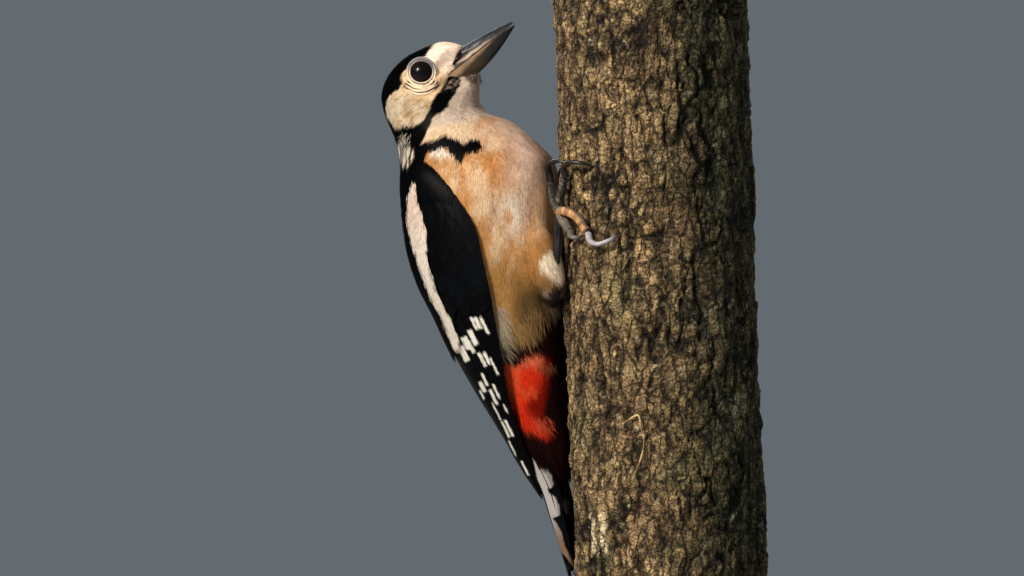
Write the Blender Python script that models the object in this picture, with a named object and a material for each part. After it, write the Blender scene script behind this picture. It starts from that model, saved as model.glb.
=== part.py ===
"""A life-size great spotted woodpecker clinging to a cut length of trunk, on a plain display stand.

World frame: metres, +Z up, origin on the floor under the middle of the base. The bird is on the -X side of
the perch and faces it. Its own frame is turned about the perch: in it, lengths are in millimetres, x runs
forwards from the bird to the perch's axis, y to the bird's left and z up from the floor. Shapes are written
as (x, z) points of the bird's middle plane and half widths across it.
"""

from math import cos, pi, radians, sin, sqrt

import bmesh
import bpy
import numpy as np
from mathutils import Matrix, Vector

MM = 0.001
GAP = 0.35  # mm between pieces that touch
BIRD_TURN = radians(12)  # how far the breast turns from +X towards -Y

# Stand and perch, mm
BASE_LENGTH, BASE_WIDTH, BASE_HEIGHT = 186, 120, 14
BASE_CORNER, BASE_EDGE = 14, 2.5
ROD_RADIUS, COLLAR_RADIUS, FLANGE_RADIUS, PLATE_HEIGHT = 5, 9, 15, 2.5
LOG_RADIUS, LOG_BOTTOM, LOG_TOP = 37, 36, 278
LOG_AXIS_X, LOG_AXIS_Z = 13.5, 159  # a point of the perch's axis
LOG_LEAN = -0.0377  # mm towards +X for each mm up

# The bird, mm
EYE_CENTRE, EYE_RADIUS = (-90.3, 7.3, 241.7), 6.0
BODY_SIDES, WING_SIDES = 24, 8
RINGS_PER_STATION = 2
BODY_FULLNESS = 2.3  # 2 is an ellipse, more is fuller at the corners

# Sections from the bill to the vent: back (x, z), front (x, z), half width
BODY = (
    ((-74.6, 251.6), (-67.9, 245.2), 5.2),  # base of the bill
    ((-79.8, 253.1), (-68.3, 240.4), 7.4),  # lores
    ((-84.9, 253.4), (-69.4, 236.4), 9.0),  # brow
    ((-91.9, 251.2), (-69.9, 232.4), 10.6),  # forecrown
    ((-99.5, 247.2), (-69.2, 228.9), 12.4),  # crown
    ((-105.7, 240.4), (-67.4, 225.9), 13.8),  # hind crown
    ((-108.2, 232.8), (-64.3, 224.7), 14.8),  # nape
    ((-106.6, 225.2), (-59.2, 223.2), 16.4),  # hind neck
    ((-103.9, 219.2), (-53.4, 219.2), 18.8),  # neck
    ((-101.4, 212.6), (-47.6, 213.0), 22.0),  # shoulder
    ((-100.4, 205.2), (-43.5, 206.4), 24.6),  # breast
    ((-100.4, 194.8), (-41.2, 194.8), 26.4),
    ((-98.4, 181.0), (-40.3, 180.0), 26.6),
    ((-91.9, 166.3), (-39.6, 164.4), 25.4),  # belly
    ((-83.3, 151.1), (-39.4, 148.0), 23.0),
    ((-74.0, 135.1), (-38.9, 132.1), 19.6),  # rump
    ((-65.1, 119.9), (-38.0, 116.1), 15.6),
    ((-56.5, 105.5), (-36.6, 101.0), 11.4),  # vent
)
NAPE, SHOULDER, VENT = 6, 9, 17
CUT = 0.05  # half a cut between two pieces, in stations

# Folded wing from the shoulder to its tip: height, back edge x, lower edge x, half width,
# angle from the back's middle line where the wing starts, thickness
WING = (
    (207.0, -95.5, -87.5, 20.0, 56, 1.4),
    (202.0, -99.6, -81.8, 23.4, 46, 3.2),
    (194.0, -101.2, -75.4, 26.0, 36, 4.0),
    (183.0, -99.6, -68.3, 27.4, 27, 4.2),
    (171.0, -96.4, -65.2, 27.4, 19, 4.0),
    (160.0, -92.2, -62.9, 26.6, 14, 3.6),
    (149.0, -86.4, -60.9, 25.0, 11, 3.2),
    (137.5, -81.0, -59.1, 22.5, 10, 2.8),
    (126.0, -75.6, -57.4, 19.5, 9, 2.5),
    (114.5, -69.8, -55.5, 16.0, 9, 2.2),
    (103.0, -62.3, -52.3, 12.5, 9, 1.9),
    (92.5, -55.4, -48.8, 9.0, 12, 1.6),
    (83.0, -49.0, -46.0, 6.0, 20, 1.2),
    (79.0, -45.9, -44.7, 4.4, 36, 0.7),
)
WING_LOWEST = 94  # angle from the back at the wing's lower edge
WING_PARTING = 6  # the station where the coverts end and the flight feathers go on
WING_CUT = 0.02  # half the cut between the two, in stations
SEAT_HEADROOM = 5  # mm, how far the cut for the wing reaches out past it

# Tail: upper surface (x, z) from the vent to the tip
TAIL_TOP = (
    (-56.0, 104.8), (-52.4, 94.0), (-46.6, 82.5), (-42.8, 71.3), (-39.0, 59.9), (-35.2, 47.6),
)
TAIL_ROOT_FACE, TAIL_FACE = Vector((0.975, -0.22)), Vector((0.94, 0.33))
TAIL_FACE_TURNED = 0.3  # share of its length where the tail's sections stop turning
TAIL_THICKNESS = 1.5
ROOF_SLOPE, ROOF_RIDGE = 0.62, 2.0
TAIL_SIDE_END, UNDERTAIL_END = 0.88, 0.36  # shares of the tail's length

# Bill: culmen, cutting edge and gonys (x, z) at the root and the tip
CULMEN = (Vector((-79.2, 250.0)), Vector((-57.4, 261.2)))
CUTTING_EDGE = (Vector((-81.6, 240.6)), Vector((-57.0, 260.1)))
GONYS = (Vector((-73.4, 238.8)), Vector((-56.8, 258.9)))
BILL_ROOT_WIDTH, BILL_TIP_WIDTH = 6.4, 0.8  # half widths
RIDGE_ARCH, TIPS_APART = 0.55, 0.2

# Legs, as (degrees round the perch from the bird's middle plane, height, clearance over the bark)
FOOT = (32, 188.3, 2.6)
HEEL = (27, 167.0, 3.8)
TOES = {
    # name: way of the toe, way of its claw
    "1": (
        ((36.5, 184.6, 2.3), (42.5, 181.3, 2.2)),
        ((43.8, 180.7, 2.3), (47, 179.0, 3.8), (50.5, 178.4, 3.2), (53, 179.2, 0.5)),
    ),
    "2": (
        ((22, 193.4, 2.9), (14.5, 198.6, 2.9)),
        ((14.3, 199.7, 3.0), (16.5, 203.6, 3.8), (23, 206.4, 4.2), (32.5, 207.4, 2.8), (40, 206.7, 0.5)),
    ),
    "3": (
        ((36, 194.5, 2.9), (41, 200.4, 2.8)),
        ((41.8, 201.4, 2.9), (44.5, 204.8, 4.7), (51, 206.6, 5.0), (57.5, 206.4, 3.2), (61, 205.0, 0.5)),
    ),
    "4": (
        ((41, 188.4, 2.7), (51, 186.2, 2.7), (58.5, 180.9, 2.7)),
        ((59.4, 179.9, 2.8), (62.5, 177.0, 4.3), (68, 175.9, 4.7), (74, 177.5, 3.2), (78, 180.0, 0.5)),
    ),
}
TOE_RADIUS, TOE_END_RADIUS = 1.75, 1.35
TARSUS_RADII = (2.0, 1.75, 2.2)  # foot, middle, heel
TARSUS_SINK = 0.6  # mm of play for the tarsus below the heel
CLAW_RADIUS, CLAW_TIP_RADIUS = 1.25, 0.3
# Feathered thigh: (x, half way across, z) and radius
THIGH = (
    ((-56.0, 12.0, 184.0), 4.0),
    ((-51.0, 13.5, 180.0), 8.0),
    ((-45.0, 15.3, 172.0), 8.4),
    ((-40.2, 17.2, 163.0), 6.3),
    ((-37.9, 18.2, 156.0), 3.4),
    ((-37.2, 18.6, 153.0), 1.0),
)


def material(name, colour, roughness, metallic=0.0):
    made = bpy.data.materials.new(name)
    made.use_nodes = True
    surface = made.node_tree.nodes["Principled BSDF"]
    surface.inputs["Base Color"].default_value = (*colour, 1)
    surface.inputs["Roughness"].default_value = roughness
    surface.inputs["Metallic"].default_value = metallic
    return made


def through(keys, steps):
    """Rows on a smooth curve through the rows of keys, with this many steps between two of them."""
    keys = np.array(keys, float)
    padded = np.vstack((2 * keys[0] - keys[1], keys, 2 * keys[-1] - keys[-2]))
    rows = []
    for a, b, c, d in zip(padded, padded[1:], padded[2:], padded[3:]):
        square, cube = 2 * a - 5 * b + 4 * c - d, 3 * b - a - 3 * c + d
        for t in np.arange(steps) / steps:
            rows.append(b + 0.5 * t * (c - a + t * (square + t * cube)))
    return np.array(rows + [keys[-1]])


def row_at(rows, place):
    """The row at a place counted in rows, part of the way to the next one if need be."""
    low = min(int(place), len(rows) - 2)
    return rows[low] + (rows[low + 1] - rows[low]) * (place - low)


def skinned(name, rings, finish, parent=None):
    """One closed body over a row of rings of points in mm. A ring of one point is a pole."""
    mesh = bmesh.new()
    rows = [[mesh.verts.new(Vector(point) * MM) for point in ring] for ring in rings]
    for row, after in zip(rows, rows[1:]):
        count = max(len(row), len(after))
        for i in range(count):
            j = (i + 1) % count
            corners = [row[i % len(row)], row[j % len(row)], after[j % len(after)], after[i % len(after)]]
            mesh.faces.new(list(dict.fromkeys(corners)))
    for row in (rows[0], rows[-1]):
        if len(row) > 2:
            mesh.faces.new(row)
    bmesh.ops.recalc_face_normals(mesh, faces=mesh.faces)
    return placed(name, mesh, finish, parent)


def placed(name, mesh, finish, parent=None):
    data = bpy.data.meshes.new(name)
    mesh.to_mesh(data)
    mesh.free()
    data.shade_smooth()
    data.set_sharp_from_angle(angle=radians(50))
    made = bpy.data.objects.new(name, data)
    bpy.context.scene.collection.objects.link(made)
    made.parent = parent
    if finish:
        data.materials.append(finish)
    return made


def helper(made):
    made.hide_render = True
    made.display_type = "WIRE"
    return made


def combine(made, other, operation):
    modifier = made.modifiers.new(f"{operation.lower()} {other.name}", "BOOLEAN")
    modifier.operation = operation
    modifier.solver = "EXACT"
    modifier.object = other


# ---------------------------------------------------------------- body


def body_rows():
    return through([(*back, *front, width) for back, front, width in BODY], RINGS_PER_STATION)


def body_ring(row):
    """A full, egg-like section between the back and the front, widest at its middle."""
    back, front, width = Vector(row[0:2]), Vector(row[2:4]), row[4]
    middle, half = (back + front) / 2, (front - back) / 2
    ring = []
    for i in range(BODY_SIDES):
        angle = 2 * pi * i / BODY_SIDES
        c, s = cos(angle), sin(angle)
        size = (abs(c) ** BODY_FULLNESS + abs(s) ** BODY_FULLNESS) ** (-1 / BODY_FULLNESS)
        at = middle - half * c * size
        ring.append((at.x, -width * s * size, at.y))
    return ring


def body_piece(name, first, last, finish, bird):
    """The body's surface from one station to another, with half a cut left out at each inner end."""
    rows = body_rows()
    start = first * RINGS_PER_STATION + (CUT * RINGS_PER_STATION if first else 0)
    end = last * RINGS_PER_STATION - (CUT * RINGS_PER_STATION if last != VENT else 0)
    inner = [k for k in range(len(rows)) if start + 0.3 < k < end - 0.3]
    places = [start, *inner, end]
    return skinned(name, [body_ring(row_at(rows, k)) for k in places], finish, bird)


def ball(name, centre, radius, finish, bird, steps=10):
    """A sphere turned about the line across the head."""
    rings = []
    for i in range(steps + 1):
        across, r = -radius * cos(pi * i / steps), radius * sin(pi * i / steps)
        count = 1 if i in (0, steps) else steps + 4
        turns = [2 * pi * k / count for k in range(count)]
        rings.append([Vector(centre) + Vector((r * cos(t), across, r * sin(t))) for t in turns])
    return skinned(name, rings, finish, bird)


# ---------------------------------------------------------------- bill


def mandible(name, upper, finish, bird, grow=0.0, steps=8, sides=8):
    """Half of the bill, ridged along its outer line and flat along the cutting edge."""
    outer_line = CULMEN if upper else GONYS
    away = Vector((-0.62, 0.78)) * (1 if upper else -1)  # from the cutting edge to this half
    rings = []
    for i in range(steps + 1):
        along = i / steps - (grow / 8 if i == 0 else 0)
        cut = CUTTING_EDGE[0].lerp(CUTTING_EDGE[1], along)
        outer = outer_line[0].lerp(outer_line[1], along)
        outer = outer + away * (RIDGE_ARCH * sin(pi * along) + grow)
        cut = cut + away * (GAP / 2 + TIPS_APART * along**6 - grow)
        width = BILL_TIP_WIDTH + (BILL_ROOT_WIDTH - BILL_TIP_WIDTH) * (1 - along) ** 0.9 + grow
        ring = []
        for k in range(sides + 1):
            side = -cos(pi * k / sides)
            at = cut.lerp(outer, 1 - abs(side) ** 1.5)
            ring.append((at.x, width * side, at.y))
        rings.append(ring)
    return skinned(name, rings, finish, bird)


# ---------------------------------------------------------------- wings


def wing_ring(row, side, grow=0.0):
    """An arched strip over the body's flank: its outer line and, further in, its inner line."""
    height, back, low, width, start, thickness = row
    depth = low - back
    first, last = radians(start - (3 if grow else 0)), radians(WING_LOWEST + (2.5 if grow else 0))
    outer, inner = [], []
    for k in range(WING_SIDES):
        share = k / (WING_SIDES - 1)
        angle = first + (last - first) * share
        edge = 0.45 + 0.55 * sin(pi * min(max(share, 0.06), 0.94)) ** 0.5  # thinner at both edges
        for line, inset in ((outer, -SEAT_HEADROOM if grow else 0), (inner, thickness * edge + grow)):
            x = back + depth - (depth - inset * 0.9) * cos(angle)
            line.append((x, -side * (width - inset) * sin(angle), height))
    return outer + inner[::-1]


def wing_piece(name, first, last, side, finish, bird, grow=0.0):
    rows = np.array(WING, float)
    start = first + (WING_CUT if first else 0)
    end = last - (WING_CUT if last < len(WING) - 1 else 0)
    inner = [k for k in range(len(rows)) if start + 0.2 < k < end - 0.2]
    rings = [wing_ring(row_at(rows, k), side, grow) for k in (start, *inner, end)]
    if grow:
        for ring, shift in ((rings[0], 1.2), (rings[-1], -1.0)):
            ring[:] = [(x, y, z + shift) for x, y, z in ring]
    return skinned(name, rings, finish, bird)


# ---------------------------------------------------------------- tail


def tail_place(along):
    """The upper surface's point and the direction of thickness there, in the middle plane."""
    rows = through(TAIL_TOP, 6)
    at = row_at(rows, along * (len(rows) - 1))
    turned = min(along / TAIL_FACE_TURNED, 1)
    face = TAIL_ROOT_FACE.lerp(TAIL_FACE, turned * turned * (3 - 2 * turned))
    return Vector(at), face.normalized()


def roof(across):
    return ROOF_SLOPE * (sqrt(across**2 + ROOF_RIDGE**2) - ROOF_RIDGE)


def tail_point(along, across, depth):
    at, face = tail_place(along)
    at = at + face * (depth + roof(across))
    return (at.x, across, at.y)


def tail_plate(name, outline, end, depth, finish, bird, sides=4, steps=10):
    """A roofed plate of feathers. outline(along) gives its two edges across."""
    rings = []
    for i in range(steps + 1):
        along = end * i / steps
        one, other = outline(along)
        across = [one + (other - one) * k / sides for k in range(sides + 1)]
        rings.append(
            [tail_point(along, a, depth) for a in across]
            + [tail_point(along, a, depth + TAIL_THICKNESS) for a in across[::-1]]
        )
    return skinned(name, rings, finish, bird)


def middle_outline(along):
    half = 6.4 - 1.0 * along if along < 0.72 else 5.68 - 5.1 * ((along - 0.72) / 0.28) ** 1.5
    return -half, half


def side_outline(side):
    def edges(along):
        swell = sin(pi * min(along / 0.88, 1) ** 0.8)
        outer = 8.0 + 4.2 * swell - 3.4 * max(along - 0.62, 0) / 0.26
        return side * (2.0 + 1.6 * along), side * max(outer, 2.6 + 1.6 * along)

    return edges


def undertail(name, finish, bird, steps=7, sides=14):
    """The red coverts that fill the roof of the tail and end in a round tongue."""
    top = 2 * (TAIL_THICKNESS + GAP)
    rings = []
    for i in range(steps):
        share = i / (steps - 1)
        half = 10.2 * sqrt(1 - (0.93 * share) ** 3)
        lowest = 18.8 - 12.0 * share**1.6
        edge = min(top + roof(half), lowest - 0.6)
        ring = []
        for k in range(sides):
            across, up = half * sin(2 * pi * k / sides), cos(2 * pi * k / sides)
            crown = top + roof(across)
            belly = edge + (lowest - edge) * sqrt(max(1 - (across / half) ** 2, 0))
            middle = (min(crown, belly) + belly) / 2
            depth = middle - (middle - min(crown, belly)) * up if up > 0 else middle - (belly - middle) * up
            ring.append(tail_point(UNDERTAIL_END * share, across, depth - roof(across)))
        rings.append(ring)
    return skinned(name, rings, finish, bird)


# ---------------------------------------------------------------- legs


def log_centre(height):
    """World x of the perch's axis, mm, at this height."""
    return LOG_AXIS_X + LOG_LEAN * (height - LOG_AXIS_Z)


def on_bark(place, side):
    """A point over the bark in the bird's frame."""
    turn, height, clearance = place
    off = log_centre(height) - LOG_AXIS_X
    reach = LOG_RADIUS + clearance
    return Vector(
        (
            off * cos(BIRD_TURN) - reach * cos(radians(turn)),
            off * sin(BIRD_TURN) - side * reach * sin(radians(turn)),
            height,
        )
    )


def tube(name, path, radii, finish, bird, steps=2, sides=7):
    """A round limb along a smooth curve."""
    rows = through([(*point, radius) for point, radius in zip(path, radii)], steps)
    turns = [2 * pi * k / sides for k in range(sides)]
    rings, up = [], None
    for i, (*centre, radius) in enumerate(rows):
        ahead = Vector(rows[min(i + 1, len(rows) - 1)][:3]) - Vector(rows[max(i - 1, 0)][:3])
        ahead.normalize()
        up = up or ahead.orthogonal()
        up = (up - ahead * up.dot(ahead)).normalized()
        across = ahead.cross(up)
        rings.append([Vector(centre) + (up * cos(t) + across * sin(t)) * radius for t in turns])
    return skinned(name, rings, finish, bird)


def leg(side, label, horny, horn, feathers, bird):
    """Tarsus with its four toes as one piece, four claws and the feathered thigh."""
    foot, heel = on_bark(FOOT, side), on_bark(HEEL, side)
    tarsus_way = [foot, foot.lerp(heel, 0.5), heel]
    whole = tube(f"foot_{label}", tarsus_way, TARSUS_RADII, horny, bird)
    for number, (toe_way, claw_way) in TOES.items():
        way = [foot] + [on_bark(place, side) for place in toe_way]
        radii = np.linspace(TOE_RADIUS, TOE_END_RADIUS, len(way))
        toe = helper(tube(f"toe_{label}_{number}", way, radii, horny, bird))
        combine(whole, toe, "UNION")
        claw = [on_bark(place, side) for place in claw_way]
        radii = CLAW_TIP_RADIUS + (CLAW_RADIUS - CLAW_TIP_RADIUS) * np.linspace(1, 0, len(claw)) ** 0.8
        tube(f"claw_{label}_{number}", claw, radii, horn, bird, sides=6)
    thigh_way = [(x, -side * across, z) for (x, across, z), _ in THIGH]
    radii = [radius for _, radius in THIGH]
    thigh = tube(f"thigh_{label}", thigh_way, radii, feathers, bird, sides=12)
    hollow = tube(f"tarsus_hollow_{label}", tarsus_way, [max(TARSUS_RADII) + GAP] * 3, None, bird)
    hollow.data.transform(Matrix.Translation((0, 0, -TARSUS_SINK * MM)))
    combine(thigh, helper(hollow), "DIFFERENCE")
    seat = tube(f"thigh_seat_{label}", thigh_way, [r + GAP for r in radii], None, bird, sides=12)
    return helper(seat)


# ---------------------------------------------------------------- perch and stand


def bark_radius(turn, height):
    """Broad plates and hollows of the bark."""
    plates = 0.45 * sin(5 * turn + 0.035 * height) + 0.3 * sin(9 * turn - 0.06 * height + 1.0)
    return LOG_RADIUS - 0.7 + plates + 0.25 * sin(0.11 * height + 3 * turn)


def perch(finish, sides=34, steps=9):
    rings = []
    for i in range(steps + 1):
        height = LOG_BOTTOM + (LOG_TOP - LOG_BOTTOM) * i / steps
        ring = []
        for k in range(sides):
            turn = 2 * pi * k / sides
            reach = bark_radius(turn, height)
            ring.append((log_centre(height) + reach * cos(turn), reach * sin(turn), height))
        rings.append(ring)
    return skinned("perch_log", rings, finish)


def turned(name, profile, finish, x=0.0, sides=24):
    """A round piece from (radius, height) pairs."""
    turns = [2 * pi * k / sides for k in range(sides)]
    return skinned(name, [[(x + r * cos(t), r * sin(t), z) for t in turns] for r, z in profile], finish)


def base(finish):
    """A board with rounded corners and a softened upper edge."""
    mesh = bmesh.new()
    bmesh.ops.create_cube(mesh, size=1)
    size = Matrix.Diagonal((BASE_LENGTH * MM, BASE_WIDTH * MM, BASE_HEIGHT * MM, 1))
    bmesh.ops.transform(mesh, matrix=Matrix.Translation((0, 0, BASE_HEIGHT * MM / 2)) @ size, verts=mesh.verts)
    upright = [e for e in mesh.edges if abs(e.verts[0].co.z - e.verts[1].co.z) > MM]
    bmesh.ops.bevel(mesh, geom=upright, offset=BASE_CORNER * MM, segments=4, profile=0.5, affect="EDGES")
    top = [e for e in mesh.edges if all(v.co.z > (BASE_HEIGHT - 0.1) * MM for v in e.verts)]
    bmesh.ops.bevel(mesh, geom=top, offset=BASE_EDGE * MM, segments=2, profile=0.5, affect="EDGES")
    return placed("stand_base", mesh, finish)


def stand_rod(finish):
    x = log_centre(LOG_BOTTOM)
    low, high = BASE_HEIGHT + GAP, LOG_BOTTOM - GAP
    profile = (
        (COLLAR_RADIUS, low),
        (COLLAR_RADIUS, low + PLATE_HEIGHT - 0.8),
        (COLLAR_RADIUS - 0.8, low + PLATE_HEIGHT),
        (ROD_RADIUS, low + PLATE_HEIGHT),
        (ROD_RADIUS, high - PLATE_HEIGHT),
        (FLANGE_RADIUS - 0.8, high - PLATE_HEIGHT),
        (FLANGE_RADIUS, high - PLATE_HEIGHT + 0.8),
        (FLANGE_RADIUS, high),
    )
    return turned("stand_rod", profile, finish, x)


# ---------------------------------------------------------------- the whole


def main():
    for thing in list(bpy.data.objects):
        bpy.data.objects.remove(thing)
    black = material("black plumage", (0.012, 0.014, 0.018), 0.5)
    buff = material("buff plumage", (0.62, 0.42, 0.24), 0.85)
    pale = material("white plumage", (0.82, 0.76, 0.66), 0.85)
    red = material("red plumage", (0.62, 0.03, 0.01), 0.85)
    horn = material("bill horn", (0.1, 0.09, 0.08), 0.35)
    dark_horn = material("claw horn", (0.03, 0.025, 0.02), 0.3)
    scaled = material("leg scales", (0.13, 0.1, 0.07), 0.6)
    eye = material("eye", (0.03, 0.012, 0.01), 0.05)
    bark = material("bark", (0.2, 0.15, 0.08), 0.9)
    board = material("base wood", (0.07, 0.045, 0.03), 0.4)
    steel = material("rod steel", (0.5, 0.5, 0.5), 0.3, 1.0)

    bird = bpy.data.objects.new("bird", None)
    bpy.context.scene.collection.objects.link(bird)
    bird.location = (LOG_AXIS_X * MM, 0, 0)
    bird.rotation_euler = (0, 0, -BIRD_TURN)

    head = body_piece("head", 0, NAPE, black, bird)
    body_piece("neck", NAPE, SHOULDER, pale, bird)
    trunk = body_piece("trunk", SHOULDER, VENT, buff, bird)
    for upper, name in ((True, "bill_upper"), (False, "bill_lower")):
        mandible(name, upper, horn, bird)
        combine(head, helper(mandible(f"{name}_seat", upper, None, bird, grow=GAP)), "DIFFERENCE")
    last = len(WING) - 1
    for side, label in ((1, "right"), (-1, "left")):
        x, y, z = EYE_CENTRE
        ball(f"eye_{label}", (x, -side * y, z), EYE_RADIUS, eye, bird)
        socket = ball(f"socket_{label}", (x, -side * y, z), EYE_RADIUS + GAP, None, bird)
        combine(head, helper(socket), "DIFFERENCE")
        wing_piece(f"wing_{label}", 0, WING_PARTING, side, black, bird)
        wing_piece(f"flight_feathers_{label}", WING_PARTING, last, side, black, bird)
        seat = wing_piece(f"wing_seat_{label}", 0, last, side, None, bird, GAP)
        combine(trunk, helper(seat), "DIFFERENCE")
        outline, depth = side_outline(-side), TAIL_THICKNESS + GAP
        tail_plate(f"tail_side_{label}", outline, TAIL_SIDE_END, depth, black, bird, sides=3)
        combine(trunk, leg(side, label, scaled, dark_horn, pale, bird), "DIFFERENCE")
    tail_plate("tail_middle", middle_outline, 1.0, 0.0, black, bird)
    undertail("undertail_coverts", red, bird)

    perch(bark)
    stand_rod(steel)
    base(board)


main()
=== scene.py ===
"""The looks of a life-size great spotted woodpecker on a cut length of trunk, over its packed frame.

The bird has a frame of its own, turned about the perch: lengths in millimetres, x forwards from the bird to
the perch's axis, y to the bird's left, z up from the floor. Its markings are laid out in the side view, in
the world's X and Z in millimetres, and are the same on both sides of the bird.
"""

from math import cos, pi, radians, sin, sqrt

import bmesh
import bpy
import numpy as np
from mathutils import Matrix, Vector
from mathutils.kdtree import KDTree


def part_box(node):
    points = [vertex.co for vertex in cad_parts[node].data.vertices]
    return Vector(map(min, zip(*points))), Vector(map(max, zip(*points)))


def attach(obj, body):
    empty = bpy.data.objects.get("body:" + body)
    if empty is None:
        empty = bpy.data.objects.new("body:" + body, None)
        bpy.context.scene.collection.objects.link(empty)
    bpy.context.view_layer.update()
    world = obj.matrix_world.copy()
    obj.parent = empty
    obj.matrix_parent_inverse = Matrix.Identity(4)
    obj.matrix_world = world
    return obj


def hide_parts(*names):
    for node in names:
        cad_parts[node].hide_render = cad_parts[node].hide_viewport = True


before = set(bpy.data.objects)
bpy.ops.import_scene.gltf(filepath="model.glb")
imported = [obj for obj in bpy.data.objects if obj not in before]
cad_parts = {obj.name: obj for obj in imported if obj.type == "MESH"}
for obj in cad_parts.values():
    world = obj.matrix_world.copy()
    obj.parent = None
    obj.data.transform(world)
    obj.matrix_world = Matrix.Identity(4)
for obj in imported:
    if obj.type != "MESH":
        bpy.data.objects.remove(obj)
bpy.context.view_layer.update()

bl_info = {
    "name": "Woodpecker on a Trunk",
    "version": (1, 0, 0),
    "blender": (4, 5, 0),
    "location": "View3D > Sidebar > Woodpecker",
    "description": "Builds the plumage, bill, eyes, feet, wings, tail, perch and stage of a woodpecker model",
    "category": "Object",
}

MM = 0.001

# ---------------------------------------------------------------- the bird's own measures, mm

BIRD_TURN = radians(12)
LOG_RADIUS = 37.0
LOG_AXIS_X, LOG_AXIS_Z, LOG_LEAN = 13.5, 159.0, -0.0377
LOG_BOTTOM, LOG_TOP = (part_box("perch_log")[k][2] / MM for k in (0, 1))
EYE_CENTRE, EYE_RADIUS = np.array((-91.4, 7.3, 241.5)), 6.0
EYE_AXIS = np.array((0.2076, -0.9765, 0.0575))  # of the right eye
BODY_FULLNESS = 2.3

# Sections of the body from the bill to the end of the undertail: back (x, z), front (x, z), half width
BODY = (
    ((-76.0, 251.4), (-71.2, 242.0), 3.6),
    ((-80.4, 252.9), (-70.6, 238.9), 6.6),
    ((-85.2, 253.3), (-70.6, 235.8), 8.8),
    ((-91.9, 251.2), (-70.9, 232.2), 10.6),
    ((-99.5, 247.2), (-70.0, 228.9), 12.4),
    ((-105.7, 240.4), (-67.4, 225.9), 13.8),
    ((-108.2, 232.8), (-64.3, 224.7), 14.8),
    ((-106.6, 225.2), (-59.2, 223.2), 16.4),
    ((-103.9, 219.2), (-53.4, 219.2), 18.8),
    ((-101.4, 212.6), (-46.4, 213.2), 22.0),
    ((-100.4, 205.2), (-41.6, 206.6), 24.6),
    ((-100.4, 194.8), (-39.7, 194.8), 26.4),
    ((-98.4, 181.0), (-39.4, 180.0), 26.6),
    ((-91.9, 166.3), (-39.6, 164.4), 25.4),
    ((-83.3, 151.1), (-39.4, 148.0), 23.0),
    ((-74.0, 135.1), (-38.9, 132.1), 19.6),
    ((-65.1, 119.9), (-38.0, 116.1), 15.6),
    ((-56.5, 105.5), (-36.6, 101.0), 11.4),
    ((-48.6, 93.5), (-36.0, 89.5), 9.2),
    ((-42.8, 83.0), (-35.9, 80.5), 6.0),
    ((-40.2, 78.0), (-36.8, 77.0), 2.2),
)
RINGS_PER_STATION, BODY_SIDES = 14, 144

# Folded wing: height, back edge x, lower edge x, half width, angle from the back where it starts, thickness
WING = (
    (207.0, -95.5, -87.5, 20.0, 56, 1.4),
    (202.0, -99.6, -81.8, 23.4, 46, 3.2),
    (194.0, -101.2, -75.4, 26.0, 36, 4.0),
    (183.0, -99.6, -68.3, 27.4, 27, 4.2),
    (171.0, -96.4, -65.2, 27.4, 19, 4.0),
    (160.0, -92.2, -62.9, 26.6, 14, 3.6),
    (149.0, -86.4, -60.9, 25.0, 11, 3.2),
    (137.5, -81.0, -59.1, 22.5, 10, 2.8),
    (126.0, -74.8, -57.4, 19.5, 9, 2.5),
    (114.5, -68.0, -55.5, 16.0, 9, 2.2),
    (103.0, -61.0, -52.3, 12.5, 9, 1.9),
    (92.5, -55.4, -48.8, 9.0, 12, 1.6),
    (83.0, -49.0, -46.0, 6.0, 20, 1.2),
    (79.0, -45.9, -44.7, 4.4, 36, 0.7),
)
WING_LOWEST = 94


WING_STEPS, WING_SIDES = 12, 80  # rows between two stations of the wing and columns across it

# Tail: upper surface (x, z) from the vent to the tip
TAIL_TOP = ((-56.0, 104.8), (-52.4, 94.0), (-46.6, 82.5), (-42.8, 71.3), (-39.0, 59.9), (-35.2, 47.6))
TAIL_ROOT_FACE, TAIL_FACE, TAIL_FACE_TURNED = Vector((0.975, -0.22)), Vector((0.94, 0.33)), 0.3
ROOF_SLOPE, ROOF_RIDGE = 0.62, 2.0

# Bill: culmen, cutting edge and gonys (x, z) at the root and the tip, and half widths
CULMEN = (Vector((-79.2, 250.0)), Vector((-57.4, 261.2)))
CUTTING_EDGE = (Vector((-81.6, 240.6)), Vector((-57.0, 260.1)))
GONYS = (Vector((-73.4, 238.8)), Vector((-56.8, 258.9)))
BILL_ROOT_WIDTH, BILL_TIP_WIDTH = 6.8, 0.8

# Legs, as (degrees round the perch from the bird's middle plane, height, clearance over the bark)
FOOT, HEEL = (32, 188.3, 2.6), (27, 167.0, 3.8)
TOES = {
    "1": (
        ((36.5, 184.6, 2.3), (42.5, 181.3, 2.2)),
        ((43.8, 180.7, 2.3), (47, 179.0, 3.8), (50.5, 178.4, 3.2), (53, 179.2, 0.3)),
    ),
    "2": (
        ((22, 193.4, 2.9), (14.5, 198.6, 2.9)),
        ((14.3, 199.7, 3.0), (16.5, 203.6, 3.8), (23, 206.4, 4.2), (32.5, 207.4, 2.8), (40, 206.7, 0.3)),
    ),
    "3": (
        ((36, 194.5, 2.9), (41, 200.4, 2.8)),
        ((41.8, 201.4, 2.9), (44.5, 204.8, 4.7), (51, 206.6, 5.0), (57.5, 206.4, 3.2), (61, 205.0, 0.3)),
    ),
    "4": (
        ((41, 188.4, 2.7), (51, 186.2, 2.7), (58.5, 180.9, 2.7)),
        ((59.4, 179.9, 2.8), (62.5, 177.0, 4.3), (68, 175.9, 4.7), (74, 177.5, 3.2), (78, 180.0, 0.3)),
    ),
}
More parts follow.
